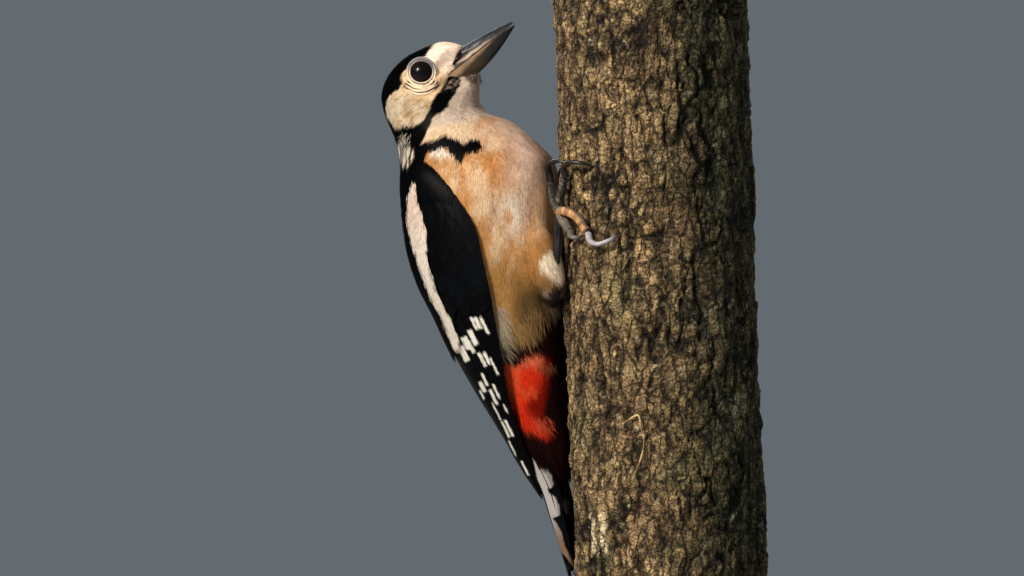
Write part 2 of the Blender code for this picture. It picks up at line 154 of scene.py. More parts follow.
# How far each claw's point is sunk below the perch's plain round to grip the bark, mm
CLAW_GRIP = {
    "right": {"1": 0.4, "2": 0.8, "3": 1.6, "4": 0.8},
    "left": {"1": 1.5, "2": 2.1, "3": 2.4, "4": 1.6},
}
THIGH = (
    ((-56.0, 12.0, 184.0), 4.0),
    ((-51.0, 13.5, 180.0), 8.0),
    ((-45.0, 15.3, 172.0), 8.4),
    ((-40.2, 17.2, 163.0), 6.3),
    ((-37.9, 18.2, 156.0), 3.4),
    ((-37.2, 18.6, 153.0), 1.0),
)

# ---------------------------------------------------------------- markings in the side view, mm

BARE_BILL = (
    (-66.0, 241.3), (-64.4, 246.1), (-62.5, 249.9), (-60.6, 252.4), (-41.8, 263.0), (-40.0, 257.5),
    (-46.5, 249.9), (-52.2, 244.0), (-56.0, 242.0), (-60.4, 241.0),
)

FACE = (
    (-70.3, 256.4), (-65.7, 257.2), (-57.0, 256.4), (-57.4, 249.1), (-60.4, 243.8), (-63.5, 241.5),
    (-67.6, 240.0), (-69.2, 236.2), (-70.9, 233.7), (-72.6, 231.3), (-73.7, 228.8), (-74.7, 226.3),
    (-76.0, 223.7), (-78.3, 221.9), (-81.7, 221.0), (-84.0, 221.2), (-87.0, 220.2), (-88.3, 221.0),
    (-89.9, 223.3), (-91.0, 226.3), (-91.2, 228.6), (-90.4, 231.4), (-88.3, 233.7), (-85.9, 235.2),
    (-84.7, 237.5), (-85.1, 240.0), (-83.8, 242.3), (-81.4, 244.7), (-78.1, 246.5), (-74.1, 245.9),
    (-75.2, 248.4), (-73.0, 251.8),
)
MALAR = (
    (-67.6, 241.0), (-66.2, 242.8), (-64.0, 241.4), (-62.3, 238.3), (-63.3, 235.6), (-64.8, 232.8),
    (-66.8, 229.0),
    (-69.6, 226.6), (-72.3, 224.2), (-74.5, 220.4), (-75.2, 217.6), (-77.1, 214.2), (-78.3, 205.0),
    (-85.5, 203.5), (-99.0, 208.0), (-99.0, 260.0), (-70.3, 260.0), (-70.3, 254.0), (-84.0, 240.0),
)
BREAST_BAR = (
    (-79.4, 214.2), (-77.1, 214.2), (-72.4, 214.7), (-68.0, 217.0), (-63.8, 215.1), (-61.0, 213.8),
    (-58.5, 214.9), (-55.9, 214.7), (-54.3, 212.8), (-57.2, 211.5), (-59.7, 210.9), (-61.6, 210.0),
    (-62.7, 207.3), (-63.8, 209.2), (-65.7, 211.1), (-67.6, 213.0), (-69.5, 213.4), (-73.3, 212.3),
    (-76.2, 210.9), (-77.1, 208.1), (-78.3, 203.0), (-84.0, 203.0),
)
NECK_PATCH = (
    (-87.0, 215.3), (-85.1, 213.4), (-83.6, 211.1), (-81.7, 213.4), (-80.2, 212.6), (-80.6, 208.8),
    (-82.1, 205.8), (-83.6, 205.0), (-85.5, 207.5), (-87.4, 210.5),
)
WHITE_PATCH = ((-73.7, 212.3), (-70.3, 213.0), (-66.5, 211.1), (-65.7, 209.6), (-70.3, 208.8), (-74.1, 209.4))
THROAT = (
    (-63.5, 240.0), (-58.9, 243.0), (-45.0, 248.0), (-45.0, 232.0), (-50.0, 226.5), (-58.9, 224.0),
    (-66.5, 222.5), (-71.8, 221.8), (-72.3, 224.2), (-69.6, 226.6), (-66.8, 229.0), (-64.8, 232.8),
    (-63.3, 235.6),
)
SCAPULAR = (
    (-79.8, 200.5), (-78.3, 199.0), (-78.3, 191.7), (-76.0, 185.3), (-74.9, 178.8), (-74.9, 172.7),
    (-73.0, 165.1), (-69.5, 156.0), (-67.3, 150.3), (-65.0, 146.5), (-63.1, 141.6), (-62.3, 136.6),
    (-64.6, 136.3), (-66.5, 141.2), (-70.3, 149.6), (-74.1, 157.5), (-77.1, 166.3), (-80.6, 174.6),
    (-82.7, 184.1), (-82.3, 194.0),
)
VENT = (
    (-56.0, 142.0), (-49.4, 138.2), (-45.6, 136.3), (-40.3, 136.3), (-37.6, 137.8), (-35.7, 141.2),
    (-32.7, 145.0), (-30.0, 148.8), (-27.7, 151.5), (-23.9, 154.5), (-19.0, 157.2), (-4.9, 157.2),
    (-5.0, 60.0), (-80.0, 60.0), (-70.0, 110.0),
)
# Where the red under the tail is shown lit; outside it the red is painted near black as shade
LIT_RED_PATCH = (
    (-51.3, 129.0), (-39.9, 130.6), (-37.6, 133.6), (-32.3, 134.7), (-27.7, 132.8), (-28.5, 127.5),
    (-28.9, 122.6), (-30.0, 116.9), (-31.5, 111.2), (-28.1, 103.2), (-30.4, 102.4), (-35.0, 104.7),
    (-38.0, 104.7), (-43.7, 106.2), (-49.4, 113.1), (-51.3, 120.7),
)
THIGH_WHITE = (
    (-33.1, 169.3), (-29.3, 173.1), (-26.2, 174.3), (-23.6, 171.6), (-21.0, 167.0), (-21.0, 162.5),
    (-24.7, 160.6),
    (-28.9, 162.5), (-31.9, 165.5),
)
TAIL_PALE = (
    (-36.5, 102.4), (-35.0, 100.5), (-33.4, 96.0), (-31.9, 91.4), (-29.6, 90.7), (-27.7, 88.0), (-27.2, 84.6),
    (-28.1, 83.1), (-29.6, 83.4), (-28.9, 81.5), (-26.6, 80.0), (-25.1, 77.0), (-24.7, 73.2), (-26.2, 72.4),
    (-27.7, 72.0), (-26.2, 70.1), (-23.9, 66.3), (-22.8, 61.4), (-20.1, 56.1), (-19.8, 53.8), (-22.8, 57.6),
    (-25.1, 60.3), (-27.4, 66.3), (-29.3, 71.7), (-31.2, 77.7), (-32.7, 83.4), (-34.2, 91.0), (-35.7, 97.1),
)


# ---------------------------------------------------------------- small numbers work


def through(keys, steps):
    """Rows on a smooth curve through the rows of keys, with this many steps between two of them."""
    keys = np.array(keys, float)
    padded = np.vstack((2 * keys[0] - keys[1], keys, 2 * keys[-1] - keys[-2]))
    rows = []
    for a, b, c, d in zip(padded, padded[1:], padded[2:], padded[3:]):
        square, cube = 2 * a - 5 * b + 4 * c - d, 3 * b - a - 3 * c + d
        for t in np.arange(steps) / steps:
            rows.append(b + 0.5 * t * (c - a + t * (square + t * cube)))
    return np.array(rows + [keys[-1]])


def smooth(x, low=0.0, high=1.0):
    """From 0 at low to 1 at high, rounded at both ends."""
    t = np.clip((np.asarray(x, float) - low) / (high - low), 0, 1)
    return t * t * (3 - 2 * t)


def unit(v):
    """Directions of length 1."""
    return v / np.maximum(np.linalg.norm(v, axis=-1, keepdims=True), 1e-9)


def lattice(cell, seed):
    """A fixed pseudo-random number from 0 to 1 for each whole-numbered cell."""
    h = (cell * np.array((374761393, 668265263, 1274126177))).sum(-1) + seed * 974711
    h = (h ^ (h >> 13)) * 1103515245 & 0xFFFFFFFF
    h = (h ^ (h >> 15)) * 374761393 & 0xFFFFFFFF
    return ((h ^ (h >> 14)) & 0xFFFF) / 65535.0


def noise(points, scale, seed=0):
    """Smooth noise from -1 to 1 whose lumps are about scale across."""
    p = np.asarray(points, float) / scale
    cell = np.floor(p).astype(np.int64)
    f = p - cell
    f = f * f * (3 - 2 * f)
    total = 0
    for corner in np.ndindex(2, 2, 2):
        weight = np.prod(np.where(np.array(corner) == 1, f, 1 - f), axis=-1)
        total = total + weight * lattice(cell + np.array(corner), seed)
    return total * 2 - 1


def fractal(points, scale, octaves=3, seed=0):
    return sum(noise(points, scale / 2**k, seed + k) / 2**k for k in range(octaves)) / (2 - 2 ** (1 - octaves))


def inside(xz, outline):
    """Signed distance from each point to an outline, positive inside."""
    outline = np.array(outline, float)
    a, b = outline, np.roll(outline, -1, 0)
    nearest = np.full(len(xz), 1e9)
    crossings = np.zeros(len(xz), int)
    for (ax, az), (bx, bz) in zip(a, b):
        dx, dz = bx - ax, bz - az
        t = np.clip(((xz[:, 0] - ax) * dx + (xz[:, 1] - az) * dz) / (dx * dx + dz * dz), 0, 1)
        nearest = np.minimum(nearest, np.hypot(xz[:, 0] - ax - t * dx, xz[:, 1] - az - t * dz))
        spans = (az > xz[:, 1]) != (bz > xz[:, 1])
        across = ax + (xz[:, 1] - az) * dx / (dz if abs(dz) > 1e-9 else 1e-9)
        crossings += spans & (xz[:, 0] < across)
    return np.where(crossings % 2 == 1, nearest, -nearest)


def to_world(points):
    """Bird's frame in mm to the world in metres."""
    p = np.asarray(points, float)
    c, s = cos(BIRD_TURN), sin(BIRD_TURN)
    x = LOG_AXIS_X + c * p[..., 0] + s * p[..., 1]
    y = -s * p[..., 0] + c * p[..., 1]
    return np.stack((x, y, p[..., 2]), -1) * MM


def turn_to_world(ways):
    """Directions of the bird's frame in the world."""
    return (to_world(ways) - to_world(0 * ways)) / MM


def to_bird(points):
    """The world in metres to the bird's frame in mm."""
    p = np.asarray(points, float) / MM
    c, s = cos(BIRD_TURN), sin(BIRD_TURN)
    x = p[..., 0] - LOG_AXIS_X
    return np.stack((c * x - s * p[..., 1], s * x + c * p[..., 1], p[..., 2]), -1)


def side_view(points):
    """Where points of the bird lie in the side view, with its left side folded on to its right."""
    p = np.asarray(points, float)
    x = LOG_AXIS_X + cos(BIRD_TURN) * p[..., 0] - sin(BIRD_TURN) * np.abs(p[..., 1])
    return np.stack((x, p[..., 2]), -1)


def linear(r, g, b):
    """A colour given as screen values from 0 to 255, as light."""
    c = np.array((r, g, b), float) / 255
    return np.where(c <= 0.04045, c / 12.92, ((c + 0.055) / 1.055) ** 2.4)


def mix(a, b, share):
    """From a to b by a share."""
    share = np.asarray(share, float)[..., None]
    return a * (1 - share) + b * share


def around(count):
    """This many angles, evenly round a circle."""
    return 2 * pi * np.arange(count) / count


def over(colour, *layers):
    """A colour with (colour, share) layers laid over it in turn."""
    for layer, share in layers:
        colour = mix(colour, layer, share)
    return colour


def folded(points):
    """Points with the bird's right side folded on to its left."""
    return np.stack((points[..., 0], np.abs(points[..., 1]), points[..., 2]), -1)


def patches(points, scale, seed, low, high):
    """From 0 to 1, in smooth patches about scale across."""
    return smooth(noise(points, scale, seed), low, high)


# ---------------------------------------------------------------- plumage colours

BLACK = linear(4, 4, 5)
BLUE_BLACK = linear(4, 6, 9)
CREAM = linear(228, 208, 176)
WARM_CREAM = linear(220, 196, 162)
THROAT_GREY = linear(196, 176, 158)
PINK_BUFF = linear(202, 168, 140)
ORANGE_BUFF = linear(182, 128, 76)
BUFF = linear(170, 122, 70)
OCHRE = linear(146, 106, 58)
OLIVE_GREY = linear(80, 64, 38)
WHITE = linear(226, 216, 198)
RED = linear(194, 43, 19)
RED_ORANGE = linear(196, 70, 38)
# painted shade on the red under the tail and at the end of the belly
SHADED_RED = linear(116, 17, 8)
SHADOW_RED = linear(26, 8, 7)
# painted shade in the creases between the ridges of skin under the eye
CREASE_SHADE = linear(100, 78, 60)


def fold_zone(points):
    """From 0 to 1 over the bare, creased skin under the eye."""
    xz = side_view(points) - side_view(EYE_CENTRE[None] * (1, -1, 1) + EYE_AXIS * 4.4)
    turn = np.arctan2(xz[:, 0], -xz[:, 1])
    return smooth(eye_gap(points), 9.0, 8.6) * smooth(np.abs(turn), 1.05, 0.9) * (points[:, 2] > 226)


def feather_black(points, scale, seed, low, high):
    """Black with a patchy blue sheen."""
    return mix(BLACK, BLUE_BLACK, patches(points, scale, seed, low, high))


def plumage(points):
    """Colour and gloss of the plumage at points of the bird."""
    xz = side_view(points)
    x, z = xz[:, 0], xz[:, 1]
    mirrored, off_middle = folded(points), np.abs(points[:, 1])
    wobble = noise(mirrored, 1.3, 11) * 0.5 + noise(mirrored, 4.0, 12) * 0.25

    def part(outline, soft=0.35):
        return smooth(inside(xz, outline) + wobble, -soft, soft)

    # breast and belly from the top down, with their clouds; painted light on the pale front and the low flank,
    # painted shadow on the right side
    mottle = fractal(mirrored * (1, 1, 0.55), 6.5, 3, 5)
    olive = smooth(x, -45, -38) * smooth(z, 166, 154)
    shadow = smooth(x, -41, -33) * smooth(z, 186, 200)
    lit_low_flank = smooth(x, -37, -32) * smooth(z, 176, 184) * smooth(-z, -201, -195)
    chest = np.exp(-(((x + 44.0) / 6.0) ** 2 + ((z - 187) / 9.0) ** 2))
    chest = chest * patches(mirrored * (1, 1, 0.4), 2.2, 13, -1.1, 0.1)
    colour = over(
        PINK_BUFF,
        (ORANGE_BUFF, smooth(-z, -221, -208)),
        (BUFF, smooth(-z, -200, -186)),
        (OCHRE, smooth(-z, -178, -160)),
        (OLIVE_GREY, np.maximum(olive, smooth(-z, -148, -138))),
        (CREAM, 0.45 * smooth(mottle, 0.0, 0.5) * smooth(z, 150, 175)),
        (linear(168, 110, 60), 0.5 * smooth(-mottle, 0.0, 0.5) * smooth(z, 140, 170)),
        # the pale front is partly its own pink and partly painted light; then painted shadow on the right side and
        # painted light on the low flank
        (linear(240, 212, 192), 0.85 * smooth(x, -50, -34) * smooth(z, 182, 206)),
        (linear(176, 142, 116), 0.7 * shadow),
        (linear(244, 198, 150), 0.85 * lit_low_flank),
        (WHITE, 0.85 * chest),
    )
    streaks = fractal(mirrored * (1, 1, 0.2), 1.8, 2, 14)
    # beside the wing the flank is greyer, and darker low down, partly as painted shade
    wing_side = smooth(x + 0.42 * (z - 140), -43, -48) * smooth(z, 178, 160)
    ashy = mix(linear(196, 170, 136), linear(128, 116, 96), smooth(-z, -158, -148))
    hairy = fractal(mirrored * (1, 1, 0.25), 1.5, 2, 16)
    colour = over(
        colour * (1 + 0.22 * streaks)[:, None],
        (ashy, 0.8 * wing_side * patches(mirrored * (1, 1, 0.3), 1.6, 9, -0.6, 0.3)),
        (WARM_CREAM, 0.75 * smooth(z, 212, 216) * smooth(-x, 54, 62)),
        (THROAT_GREY * (1 + 0.4 * hairy)[:, None], smooth(inside(xz, THROAT) + wobble + 2.2, 0, 2.6)),
        (WHITE, 0.85 * part(WHITE_PATCH, 1.0)),
    )

    # pale face, darker on the cheek; the top of the brow is partly its own cream and partly painted light, and the
    # cheek's creases are painted shade
    brow = mix(linear(236, 202, 156), linear(250, 230, 208), smooth(z + 0.5 * x, 202, 212))
    cheek = mix(linear(198, 180, 152), linear(172, 142, 104), patches(mirrored, 3.0, 21, 0.0, 0.8))
    swept = np.stack((0.6 * x - 0.8 * z, 0.22 * (0.8 * x + 0.6 * z), 0 * x), -1)
    # dark lines painted as the shade in the creases between the cheek's feathers
    creases = smooth(np.abs(noise(swept, 1.3, 22)), 0.22, 0.0) * smooth(z, 240, 234)
    cheek = mix(cheek, linear(120, 92, 62), 0.5 * creases)
    face = mix(cheek, brow, smooth(z + 0.3 * x, 205, 213))

    # black of crown, malar stripe, nape, rump and breast bar
    bill_foot = smooth(x, -75, -71) * smooth(z + 2 * wobble, 233, 238)
    flecked = smooth(fractal(mirrored * (1, 1, 0.6), 0.7, 2, 24), -0.1, 0.4)
    nape = smooth(-x + wobble, 81.5, 82.5) * smooth(-z, -216, -212)
    back = np.maximum(nape, smooth(3.6 - off_middle, 0, 1))
    back = back * (points[:, 0] < -86) * (1 - part(NECK_PATCH, 0.8))
    heights, _, wing_edge = np.array(WING)[::-1, :3].T
    rump = smooth(np.interp(z, heights, wing_edge) - 1 - points[:, 0], 0, 1) * smooth(-z, -207, -206)
    breast_bar = smooth(inside(xz, BREAST_BAR) + wobble + 0.7, -0.35, 0.35)
    black = part(MALAR) * (1 - 0.5 * bill_foot * flecked)
    black = np.maximum(np.maximum(black, np.maximum(back, rump)), breast_bar)
    side_patch = part(NECK_PATCH, 0.6) * smooth(off_middle, 6, 10)
    black = black * (1 - side_patch * patches(mirrored * (1, 1, 0.3), 1.2, 31, -0.2, 0.25))
    pale_face = part(FACE) * (1 - smooth(3.4 - off_middle, 0, 1) * smooth(-x, 84, 86))
    black = black * (1 - pale_face)

    # red under the tail, with painted shade: darker in its folds and near black outside its lit patch
    red = smooth(inside(xz, VENT) + wobble * 1.5, -0.8, 0.8) * (1 - rump)
    bright = smooth(noise(mirrored, 5.0, 41) + 0.5 * noise(mirrored, 1.6, 42), -0.1, 0.8)
    fold_shade = np.exp(-(((x + 33) / 6.0) ** 2 + ((z - 114) / 8.0) ** 2)) + smooth(x, -34, -29) * smooth(z, 108, 114)
    reds = over(
        RED,
        (RED_ORANGE, bright),
        (RED_ORANGE, smooth(x - 0.3 * (z - 115) + wobble, -41, -45)),
        (linear(214, 118, 82), 0.7 * smooth(z + wobble, 128.5, 132.5)),
        (SHADED_RED, smooth(fold_shade + 0.3 * wobble, 0.35, 0.9)),
    )
    reds = mix(SHADOW_RED, reds, smooth(inside(xz, LIT_RED_PATCH) + wobble * 1.6, -1.0, 1.6))
    colour = over(
        colour,
        # the bare skin under the eye is painted dark as the shade in its creases
        (mix(face, CREASE_SHADE, fold_zone(points)), pale_face),
        # painted shadow on the end of the belly, by the perch
        (SHADOW_RED, smooth(x, -36, -31) * smooth(-z, -151, -146)),
        (WHITE, part(NECK_PATCH, 0.8)),
        (BLACK, black),
        (reds, red),
    )
    return colour, black * (1 - red)


# ---------------------------------------------------------------- meshes from arrays


def mesh_from(
    name, points, triangles, finish=None, colours=None, gloss=None, uv=None, uv_name="OFBake", extra=None,
    sharp=None,
):
    """An object from points in metres and triangles, with its finish, colours, gloss and map."""
    mesh = bpy.data.meshes.new(name)
    triangles = np.ascontiguousarray(triangles, np.int32)
    mesh.vertices.add(len(points))
    mesh.vertices.foreach_set("co", np.ascontiguousarray(points, np.float32).ravel())
    mesh.loops.add(triangles.size)
    mesh.loops.foreach_set("vertex_index", triangles.ravel())
    mesh.polygons.add(len(triangles))
    mesh.polygons.foreach_set("loop_start", np.arange(len(triangles), dtype=np.int32) * 3)
    mesh.update(calc_edges=True)
    mesh.shade_smooth()
    if sharp:
        mesh.set_sharp_from_angle(angle=radians(sharp))
    if colours is not None:
        set_colours(mesh, colours)
    for label, values in (("gloss", gloss), *(extra or {}).items()):
        if values is not None:
            field = mesh.attributes.new(label, "FLOAT", "POINT")
            field.data.foreach_set("value", np.ascontiguousarray(values, np.float32))
    if uv is not None:
        layer = mesh.uv_layers.new(name=uv_name)
        layer.data.foreach_set("uv", np.ascontiguousarray(uv[triangles.ravel()], np.float32).ravel())
    if finish:
        mesh.materials.append(material(finish))
    return linked(name, mesh)


def sheet_triangles(rows, columns, closed=True):
    """Triangles over a grid of points, row by row, joined round each row if closed."""
    i = np.arange(rows - 1)[:, None]
    j = np.arange(columns if closed else columns - 1)[None, :]
    k = (j + 1) % columns
    a, b, c, d = i * columns + j, i * columns + k, (i + 1) * columns + k, (i + 1) * columns + j
    return np.concatenate((np.stack((a, b, c), -1).reshape(-1, 3), np.stack((a, c, d), -1).reshape(-1, 3)))


def outward(points, triangles):
    """Triangles of a closed body, turned to face out."""
    a, b, c = (points[triangles[:, n]] for n in range(3))
    return triangles[:, ::-1] if np.einsum("ij,ij->i", a, np.cross(b, c)).sum() < 0 else triangles


def linked(name, data):
    """An object of the scene that holds this data."""
    made = bpy.data.objects.new(name, data)
    bpy.context.scene.collection.objects.link(made)
    return made


def set_colours(mesh, colours):
    """A mesh's own colours, one for each point."""
    rgba = np.ones((len(mesh.vertices), 4), np.float32)
    rgba[:, :3] = colours
    mesh.color_attributes.new("plumage", "FLOAT_COLOR", "POINT").data.foreach_set("color", rgba.ravel())


def closed_tubes(batch):
    """Points and triangles of bodies over rings of equal size, with a pole at each end of each body."""
    batch = np.asarray(batch, float)
    count, rows, columns = batch.shape[:3]
    poles = np.stack((batch[:, 0].mean(1), batch[:, -1].mean(1)), 1)
    points = np.concatenate((batch.reshape(count, -1, 3), poles), 1)
    j = np.arange(columns)
    k = (j + 1) % columns
    first = np.stack((np.full(columns, rows * columns), k, j), -1)
    base = (rows - 1) * columns
    last = np.stack((np.full(columns, rows * columns + 1), base + j, base + k), -1)
    triangles = outward(points[0], np.concatenate((sheet_triangles(rows, columns), first, last)))
    triangles = triangles[None] + points.shape[1] * np.arange(count)[:, None, None]
    return points.reshape(-1, 3), triangles.reshape(-1, 3)


def closed_tube(rings):
    return closed_tubes(np.asarray(rings, float)[None])


def closed_hoop(grid):
    """Points and triangles of a hoop: its sections follow each other round and each one is a closed loop."""
    rows, columns = grid.shape[:2]
    points = grid.reshape(-1, 3)
    return points, outward(points, sheet_triangles(rows + 1, columns) % (rows * columns))


def evaluated(made):
    """The mesh that an object's modifiers make, in place of the object."""
    mesh = bpy.data.meshes.new_from_object(made.evaluated_get(bpy.context.evaluated_depsgraph_get()))
    bpy.data.objects.remove(made)
    return mesh


class Surface:
    """A grid of points over part of the bird, read at any place between them; it faces away from inner."""

    def __init__(self, grid, closed, inner=None):
        self.grid = np.asarray(grid, float)
        self.closed = closed
        rows, columns = self.grid.shape[:2]
        self.down = np.gradient(self.grid, axis=0)
        if closed:
            self.across = (np.roll(self.grid, -1, 1) - np.roll(self.grid, 1, 1)) / 2
        else:
            self.across = np.gradient(self.grid, axis=1)
        self.normal = unit(np.cross(self.across, self.down))
        place = (rows // 2, columns // 4)
        if inner is not None and np.dot(self.normal[place], self.grid[place] - inner) < 0:
            self.normal = -self.normal

    def read(self, field, t, p):
        """A field at rows t and columns p."""
        rows, columns = field.shape[:2]
        t = np.clip(t, 0, rows - 1.001)
        i = t.astype(int)
        u = (t - i)[..., None]
        if self.closed:
            p = p % columns
            j = np.minimum(p.astype(int), columns - 1)
            k = (j + 1) % columns
        else:
            p = np.clip(p, 0, columns - 1.001)
            j = p.astype(int)
            k = j + 1
        v = (p - j)[..., None]
        top = field[i, j] * (1 - v) + field[i, k] * v
        low = field[i + 1, j] * (1 - v) + field[i + 1, k] * v
        return top * (1 - u) + low * u

    def step(self, t, p, way):
        """Rows and columns gained for each mm along a way in space."""
        d, a = self.read(self.down, t, p), self.read(self.across, t, p)
        dd, aa, da = (d * d).sum(-1), (a * a).sum(-1), (d * a).sum(-1)
        wd, wa = (way * d).sum(-1), (way * a).sum(-1)
        det = np.maximum(dd * aa - da * da, 1e-9)
        return (wd * aa - wa * da) / det, (wa * dd - wd * da) / det

    def scatter(self, spacing, rng):
        """Rows, columns and points of places about spacing mm apart, a number or a function of the points."""
        cells = np.linalg.norm(np.cross(self.down, self.across), axis=-1)[:-1]
        if not self.closed:
            cells = cells[:, :-1]
        if callable(spacing):
            spacing = spacing(self.grid[: cells.shape[0], : cells.shape[1]])
        reached = np.cumsum((cells / np.square(spacing)).ravel())
        picks = np.searchsorted(reached, np.arange(0.5, reached[-1]))
        i, j = np.unravel_index(picks, cells.shape)
        t, p = i + rng.random(len(i)), j + rng.random(len(i))
        return t, p, self.read(self.grid, t, p)


def strands(surface, t, p, flow, length, width, depth, count, spread, rng, curl=0.0, lift=0.0, marks=3):
    """Small feathers of count barbs each, lying along the flow over a surface.

    Gives the barbs' points (feathers, count, marks, 3), their side directions, normals and widths.
    """
    total = len(t)
    length, width, depth, spread = (
        np.broadcast_to(v, (total,)).astype(float) for v in (length, width, depth, spread)
    )
    centre, normals, sides = [], [], []
    for _ in range(4):
        place, normal = surface.read(surface.grid, t, p), unit(surface.read(surface.normal, t, p))
        way = flow(place)
        way = unit(way - normal * (way * normal).sum(-1, keepdims=True))
        centre.append(place)
        normals.append(normal)
        sides.append(np.cross(normal, way))
        dt, dp = surface.step(t, p, way)
        t, p = t + dt * length / 3, p + dp * length / 3
    centre, normals, sides = (np.stack(v, 1) for v in (centre, normals, sides))
    # past the surface's end the feather goes straight on
    for k in (2, 3):
        short = np.linalg.norm(centre[:, k] - centre[:, k - 1], axis=-1) < length * 0.1
        ahead = centre[:, k - 1] - centre[:, k - 2]
        centre[:, k] = np.where(short[:, None], centre[:, k - 1] + ahead, centre[:, k])
    j = (np.arange(count) - (count - 1) / 2) / max((count - 1) / 2, 1)
    j = j[None, :, None] + rng.uniform(-0.5, 0.5, (total, count, 1)) / max(count - 1, 1)
    s = np.linspace(0, 1, marks)[None, None, :]
    reach = 1 - 0.22 * j * j + rng.uniform(-0.16, 0.1, (total, count, 1))
    along = np.clip(s * reach, 0, 0.999) * 3
    low = along.astype(int)
    part = (along - low)[..., None]
    rows, high = np.arange(total)[:, None, None], np.minimum(low + 1, 3)
    line, normal, side = (
        field[rows, low] * (1 - part) + field[rows, high] * part for field in (centre, normals, sides)
    )
    normal, side = unit(normal), unit(side)
    fan = 0.3 + 0.7 * np.sin(np.minimum(s * 1.3, 1) * pi / 2)
    drift = rng.normal(0, 0.12, (total, count, 1)) * s
    lateral = (j * fan + drift) * spread[:, None, None] + curl * s * s * rng.normal(0, 1, (total, 1, 1))
    uneven = rng.normal(0, 0.05, (total, 1, 1)) + rng.normal(0, 0.035, (total, count, 1))
    rise = -depth[:, None, None] * (1 - s) ** 3 + uneven
    rise = rise + lift * s * s * (1 + rng.normal(0, 0.4, (total, count, 1)))
    points = line + side * lateral[..., None] + normal * rise[..., None]
    return points, side, normal, width[:, None, None] * (1 + rng.uniform(-0.25, 0.25, (total, count, 1)))


SOFT_LEAN = 0.22  # how much a barb's two edges turn the light, against the surface it lies on


def barb_mesh(points, side, normal, width):
    """Closed, pointed barbs along rows of points: points, triangles and their corners' soft normals."""
    count, marks = points.shape[0] * points.shape[1], points.shape[2]
    points, side, normal = (v.reshape(count, marks, 3) for v in (points, side, normal))
    taper = np.minimum(1, 2.2 * (1 - np.linspace(0, 1, marks)[1:-1]))
    half = (width.reshape(count, 1) * 0.5 * taper)[..., None]
    middle, across, up = points[:, 1:-1], side[:, 1:-1], normal[:, 1:-1]
    rings = np.stack((middle - across * half, middle + across * half, middle + up * half * 0.34), 2)
    verts = np.concatenate((points[:, :1], rings.reshape(count, -1, 3), points[:, -1:]), 1)
    last = verts.shape[1] - 1
    faces, under = [], []
    for a in range(3):
        b = (a + 1) % 3
        faces.append((0, 1 + b, 1 + a))
        for k in range(1, last - 3, 3):
            faces += [(k + a, k + b, k + 3 + b), (k + a, k + 3 + b, k + 3 + a)]
        faces.append((last - 3 + a, last - 3 + b, last))
        under += [a == 0] * (len(faces) - len(under))
    faces = outward(verts[0] - verts[0].mean(0), np.array(faces))
    triangles = faces[None] + (last + 1) * np.arange(count)[:, None, None]
    lean = across * SOFT_LEAN
    soft = np.stack((up - lean, up + lean, up), 2).reshape(count, -1, 3)
    soft = np.concatenate((normal[:, :1], soft, normal[:, -1:]), 1)
    corners = soft[:, faces]
    corners[:, under] = -normal[:, :1, None]
    return verts.reshape(-1, 3), triangles.reshape(-1, 3), unit(corners.reshape(-1, 3))


TUFT_PATCH = 0.003


def barb_map(t, p, rows, columns, count, marks):
    """A map patch for each barb at its root's place on the unwrapped surface."""
    u, v = (np.repeat(np.clip(share, 0.003, 0.994), count)[:, None] for share in (p / columns, t / rows))
    offset = (np.tile(np.arange(count), len(t))[:, None] / count - 0.5) * TUFT_PATCH
    across = np.array((0.5, *(0, 1, 0.5) * (marks - 2), 0.5)) * TUFT_PATCH / 2
    return np.stack((u + offset + across, v + barb_share(marks) * TUFT_PATCH + 0 * across), -1).reshape(-1, 2)


def barb_share(marks):
    """How far along its barb each of its points lies."""
    return np.repeat(np.linspace(0, 1, marks), (1, *(3,) * (marks - 2), 1))


def coat_piece(name, slot, surface, t, p, flow, look, rng, count=5, spread=1.0, paint=plumage, marks=3, **how):
    """A piece of coat at places of a surface. look gives the barbs' length, width and depth in mm."""
    roots = surface.read(surface.grid, t, p)
    length, width, depth = look(roots) if callable(look) else look
    wide = spread * length * 0.28
    points, side, normal, width = strands(
        surface, t, p, flow, length, width, depth, count, wide, rng, marks=marks, **how
    )
    middle = points[:, :, (marks - 1) // 2] * 0.7 + points[:, :, -1] * 0.3
    colour, gloss = paint(middle.reshape(-1, 3))
    uneven = 1 + np.repeat(rng.normal(0, 0.04, len(t)), count) + rng.normal(0, 0.05, len(colour))
    shade = np.interp(barb_share(marks), (0, 0.5, 1), (0.82, 0.98, 1.05))
    colour = (np.clip(colour * uneven[:, None], 0, 1)[:, None] * shade[:, None]).reshape(-1, 3)
    gloss = np.repeat(np.broadcast_to(gloss, len(t) * count), len(shade))
    verts, triangles, corners = barb_mesh(points, side, normal, width)
    uv = barb_map(t, p, *surface.grid.shape[:2], count, marks)
    piece = mesh_from(name, to_world(verts), triangles, "small feathers", colour, gloss, uv)
    piece.data.normals_split_custom_set(turn_to_world(corners))
    return settle(piece, slot)


# ---------------------------------------------------------------- the bird's surfaces

# Side view lumps that the smooth body lacks: middle (x, z) in the side view, radius, height, all mm
LUMPS = (
    ((-82.5, 229.5), 6.0, 0.9),  # ear coverts
    ((-72.5, 226.0), 4.0, 0.5),  # moustache
    ((-80.0, 217.0), 4.0, -0.7),  # behind the ear coverts
    ((-64.0, 222.0), 5.0, 0.7),  # side of the throat
    ((-77.5, 241.7), 5.6, -0.5),  # round the eye
    ((-50.0, 206.0), 8.0, 0.6),
    ((-38.0, 212.0), 5.0, -0.5),
    ((-44.0, 141.0), 6.0, 0.8),  # end of the belly
)


